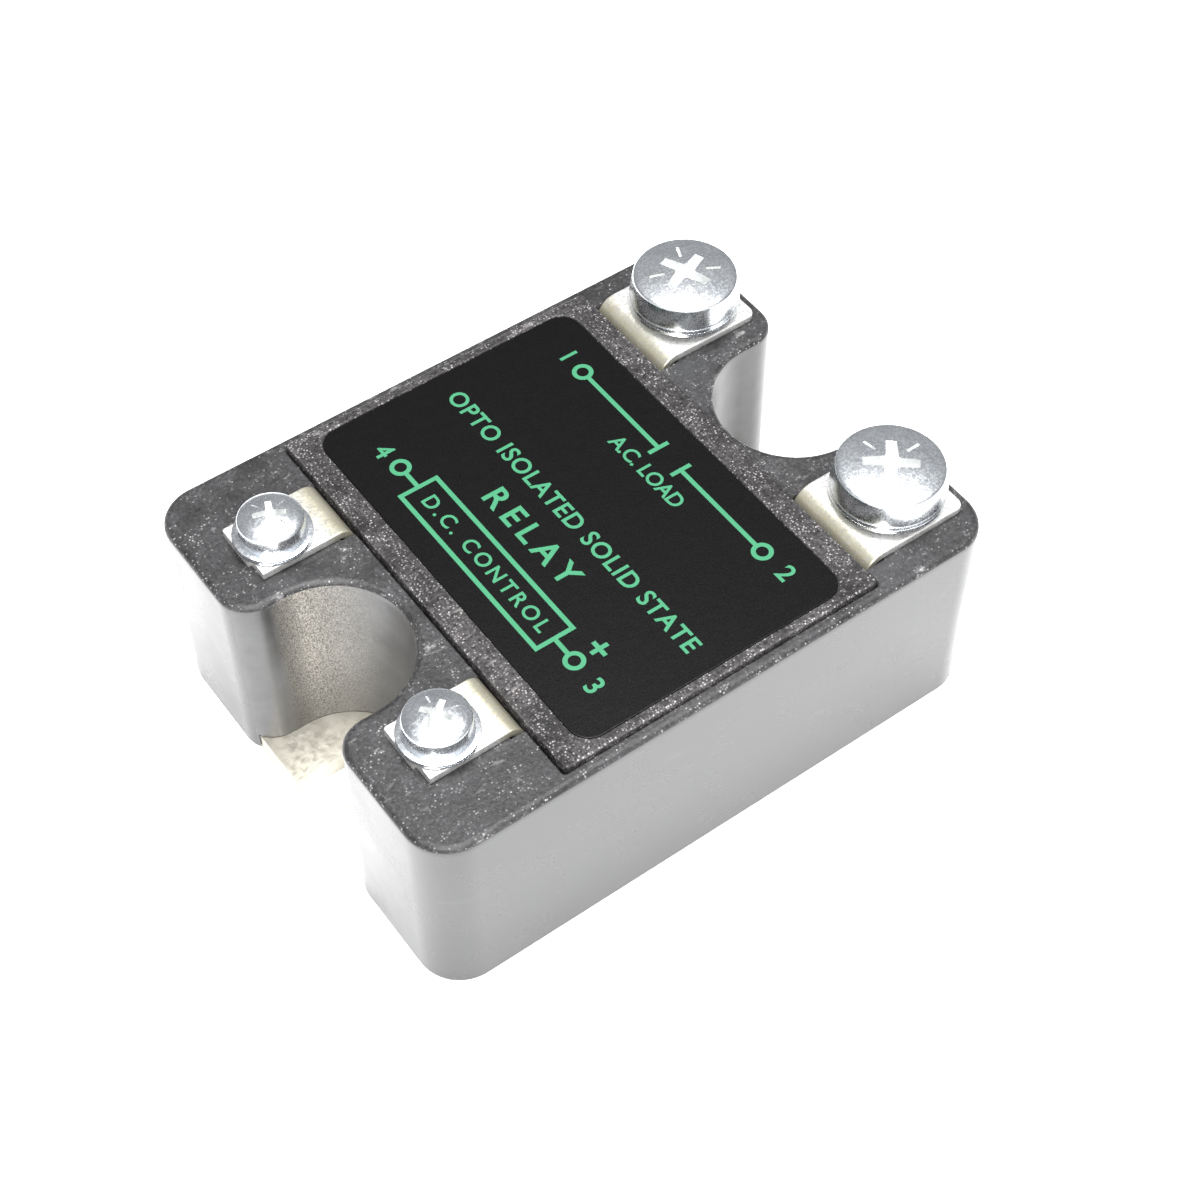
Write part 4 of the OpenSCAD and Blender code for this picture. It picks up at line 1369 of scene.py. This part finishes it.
@dataclass
class Studio:
    """Pale floor, soft lights, a gently graded surround and the camera."""

    target: tuple[float, float, float] = (6.94, 2.96, 0.0)
    azimuth: float = -126.27
    elevation: float = 51.82
    roll: float = 0.09
    distance: float = 211.96
    lens: float = 67.65
    shift: tuple[float, float] = (-0.0137, 0.0045)
    surround: float = 1.0

    def camera(self) -> bpy.types.Object:
        """Camera on a sphere round the target."""
        a, e, r = (math.radians(v) for v in (self.azimuth, self.elevation, self.roll))
        back = np.array([math.cos(e) * math.cos(a), math.cos(e) * math.sin(a), math.sin(e)])
        right = np.cross(-back, UP)
        right /= np.linalg.norm(right)
        up = np.cross(back, right)
        across = math.cos(r) * right + math.sin(r) * up
        above = math.cos(r) * up - math.sin(r) * right
        place = (np.array(self.target) + back * self.distance) * MM
        data = bpy.data.cameras.new("camera")
        data.sensor_width = 36.0
        data.lens = self.lens
        data.shift_x, data.shift_y = self.shift
        data.clip_start = 0.01
        data.clip_end = 20.0
        camera = add_object("camera", data)
        camera.matrix_world = Matrix([[*row, p] for row, p in zip(np.stack([across, above, back], axis=1), place)]
                                     + [[0.0, 0.0, 0.0, 1.0]])
        bpy.context.scene.camera = camera
        return camera

    def light(self, name: str, place: tuple[float, float, float], aim: tuple[float, float, float], size: float,
              power: float, colour: Colour = (1.0, 1.0, 1.0)) -> None:
        """Square soft light at a place in metres, turned to the point it aims at."""
        data = bpy.data.lights.new(name, "AREA")
        data.shape = "SQUARE"
        data.size = size
        data.energy = power
        data.color = colour
        lamp = add_object(name, data)
        lamp.location = place
        lamp.rotation_euler = (Vector(aim) - Vector(place)).to_track_quat("-Z", "Y").to_euler()

    def surroundings(self) -> None:
        """World that is bright overhead and in front, and dimmer behind the relay."""
        world = bpy.data.worlds.new("surround")
        bpy.context.scene.world = world
        world.use_nodes = True
        sheet = Sheet(world.node_tree)
        place = sheet.add("ShaderNodeTexCoord")
        apart = sheet.add("ShaderNodeSeparateXYZ", {"Vector": place.outputs["Generated"]})
        overhead = sheet.ramp(apart.outputs["Z"], 0.90, 0.98, 0.0, 1.6)
        facing = sheet.maths("ADD", sheet.maths("MULTIPLY", apart.outputs["X"], -0.59),
                             sheet.maths("MULTIPLY", apart.outputs["Y"], -0.81))
        front = sheet.ramp(facing, -0.1, 0.7, 0.36, 1.2)
        strength = sheet.maths("ADD", overhead, front)
        background = world.node_tree.nodes["Background"]
        background.inputs["Color"].default_value = (0.97, 0.98, 1.0, 1.0)
        sheet.plug(sheet.maths("MULTIPLY", strength, self.surround), background.inputs["Strength"])

    def floor(self) -> bpy.types.Object:
        """Pale floor, a shallow sheet with a faint unevenness of tone."""
        half = 2.5
        u = np.linspace(-half, half, 9)
        x, y = np.meshgrid(u, u, indexing="ij")
        points = np.stack([x, y, np.zeros_like(x)], axis=-1).reshape(-1, 3) / MM
        faces = [face[::-1] for face in grid_faces(9, 9, wrap=False)]
        piece = make_object("floor", Shell(points, faces))
        material, sheet, shader, coordinate = start_material("pale_floor", 0.8)
        noise = sheet.add("ShaderNodeTexNoise", {"Vector": coordinate, "Scale": 4.0})
        sheet.plug(sheet.mix(noise.outputs["Fac"], (0.88, 0.88, 0.87, 1.0), (0.91, 0.91, 0.91, 1.0)),
                   shader.inputs["Base Color"])
        piece.data.materials.append(material)
        return piece

    def make(self) -> None:
        """Set up the studio."""
        self.camera()
        self.surroundings()
        self.light("key", (-0.35, -0.50, 0.75), (0.0, 0.0, 0.0), 0.55, 16.0)
        self.light("overhead", (0.10, 0.05, 0.95), (0.0, 0.0, 0.0), 0.50, 17.0)
        self.floor()
        bpy.context.scene.view_settings.view_transform = "Standard"


def report(pieces: list[bpy.types.Object]) -> None:
    """Log each piece with its size in faces."""
    for piece in pieces:
        LOG.info("%s: %d faces", piece.name, len(piece.data.polygons))


def main() -> None:
    """Build the relay round its frame."""
    logging.basicConfig(level=logging.INFO, format="%(name)s: %(message)s")
    effects = Effects()
    effects.build()
    finishes = Finishes(effects)
    finishes.build()
    Studio().make()
    pieces = [Moulding(finishes).make(), *Lid(finishes).make()]
    for number in (1, 2):
        pieces.append(Strip(finishes, f"load_terminal_{number}", sign=1, hole=2.75, hole_x=22.9, corner=0.7,
                            leg_width=6.0, foot_z=3.22, foot_x=10.6, leg=16.5, bend=2.0, leg_in=1.5).make())
    for number in (3, 4):
        pieces.append(Strip(finishes, f"control_terminal_{number}", sign=-1, hole=1.75, hole_x=21.8, corner=0.3,
                            leg_width=3.0, foot_z=13.6, foot_x=11.6, leg=15.8, bend=1.4, leg_in=0.0,
                            step_share=0.32).make())
    turns = {1: 20.0, 2: 50.0, 3: 35.0, 4: 65.0}
    for number in (1, 2):
        pieces.append(Screw(finishes, f"load_screw_{number}", f"screw_{number}", turns[number], pitch=0.8, arm=2.525,
                            arm_width=0.909, recess=1.8, dome=0.42, top_share=0.915).make())
        pieces.append(Washer(finishes, f"load_washer_{number}", f"washer_{number}", 2.6).make())
    for number in (3, 4):
        pieces.append(Screw(finishes, f"control_screw_{number}", f"screw_{number}", turns[number], pitch=0.5, arm=1.5,
                            arm_width=0.54, recess=1.32, dome=0.50, top_share=0.90).make())
        pieces.append(Washer(finishes, f"control_washer_{number}", f"washer_{number}", 1.6).make())
    kept = Insides(finishes, frame["nodes"]).dress()
    report(pieces)
    LOG.info("%d packed pieces keep their shape", kept)
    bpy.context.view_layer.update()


if __name__ == "__main__":
    main()
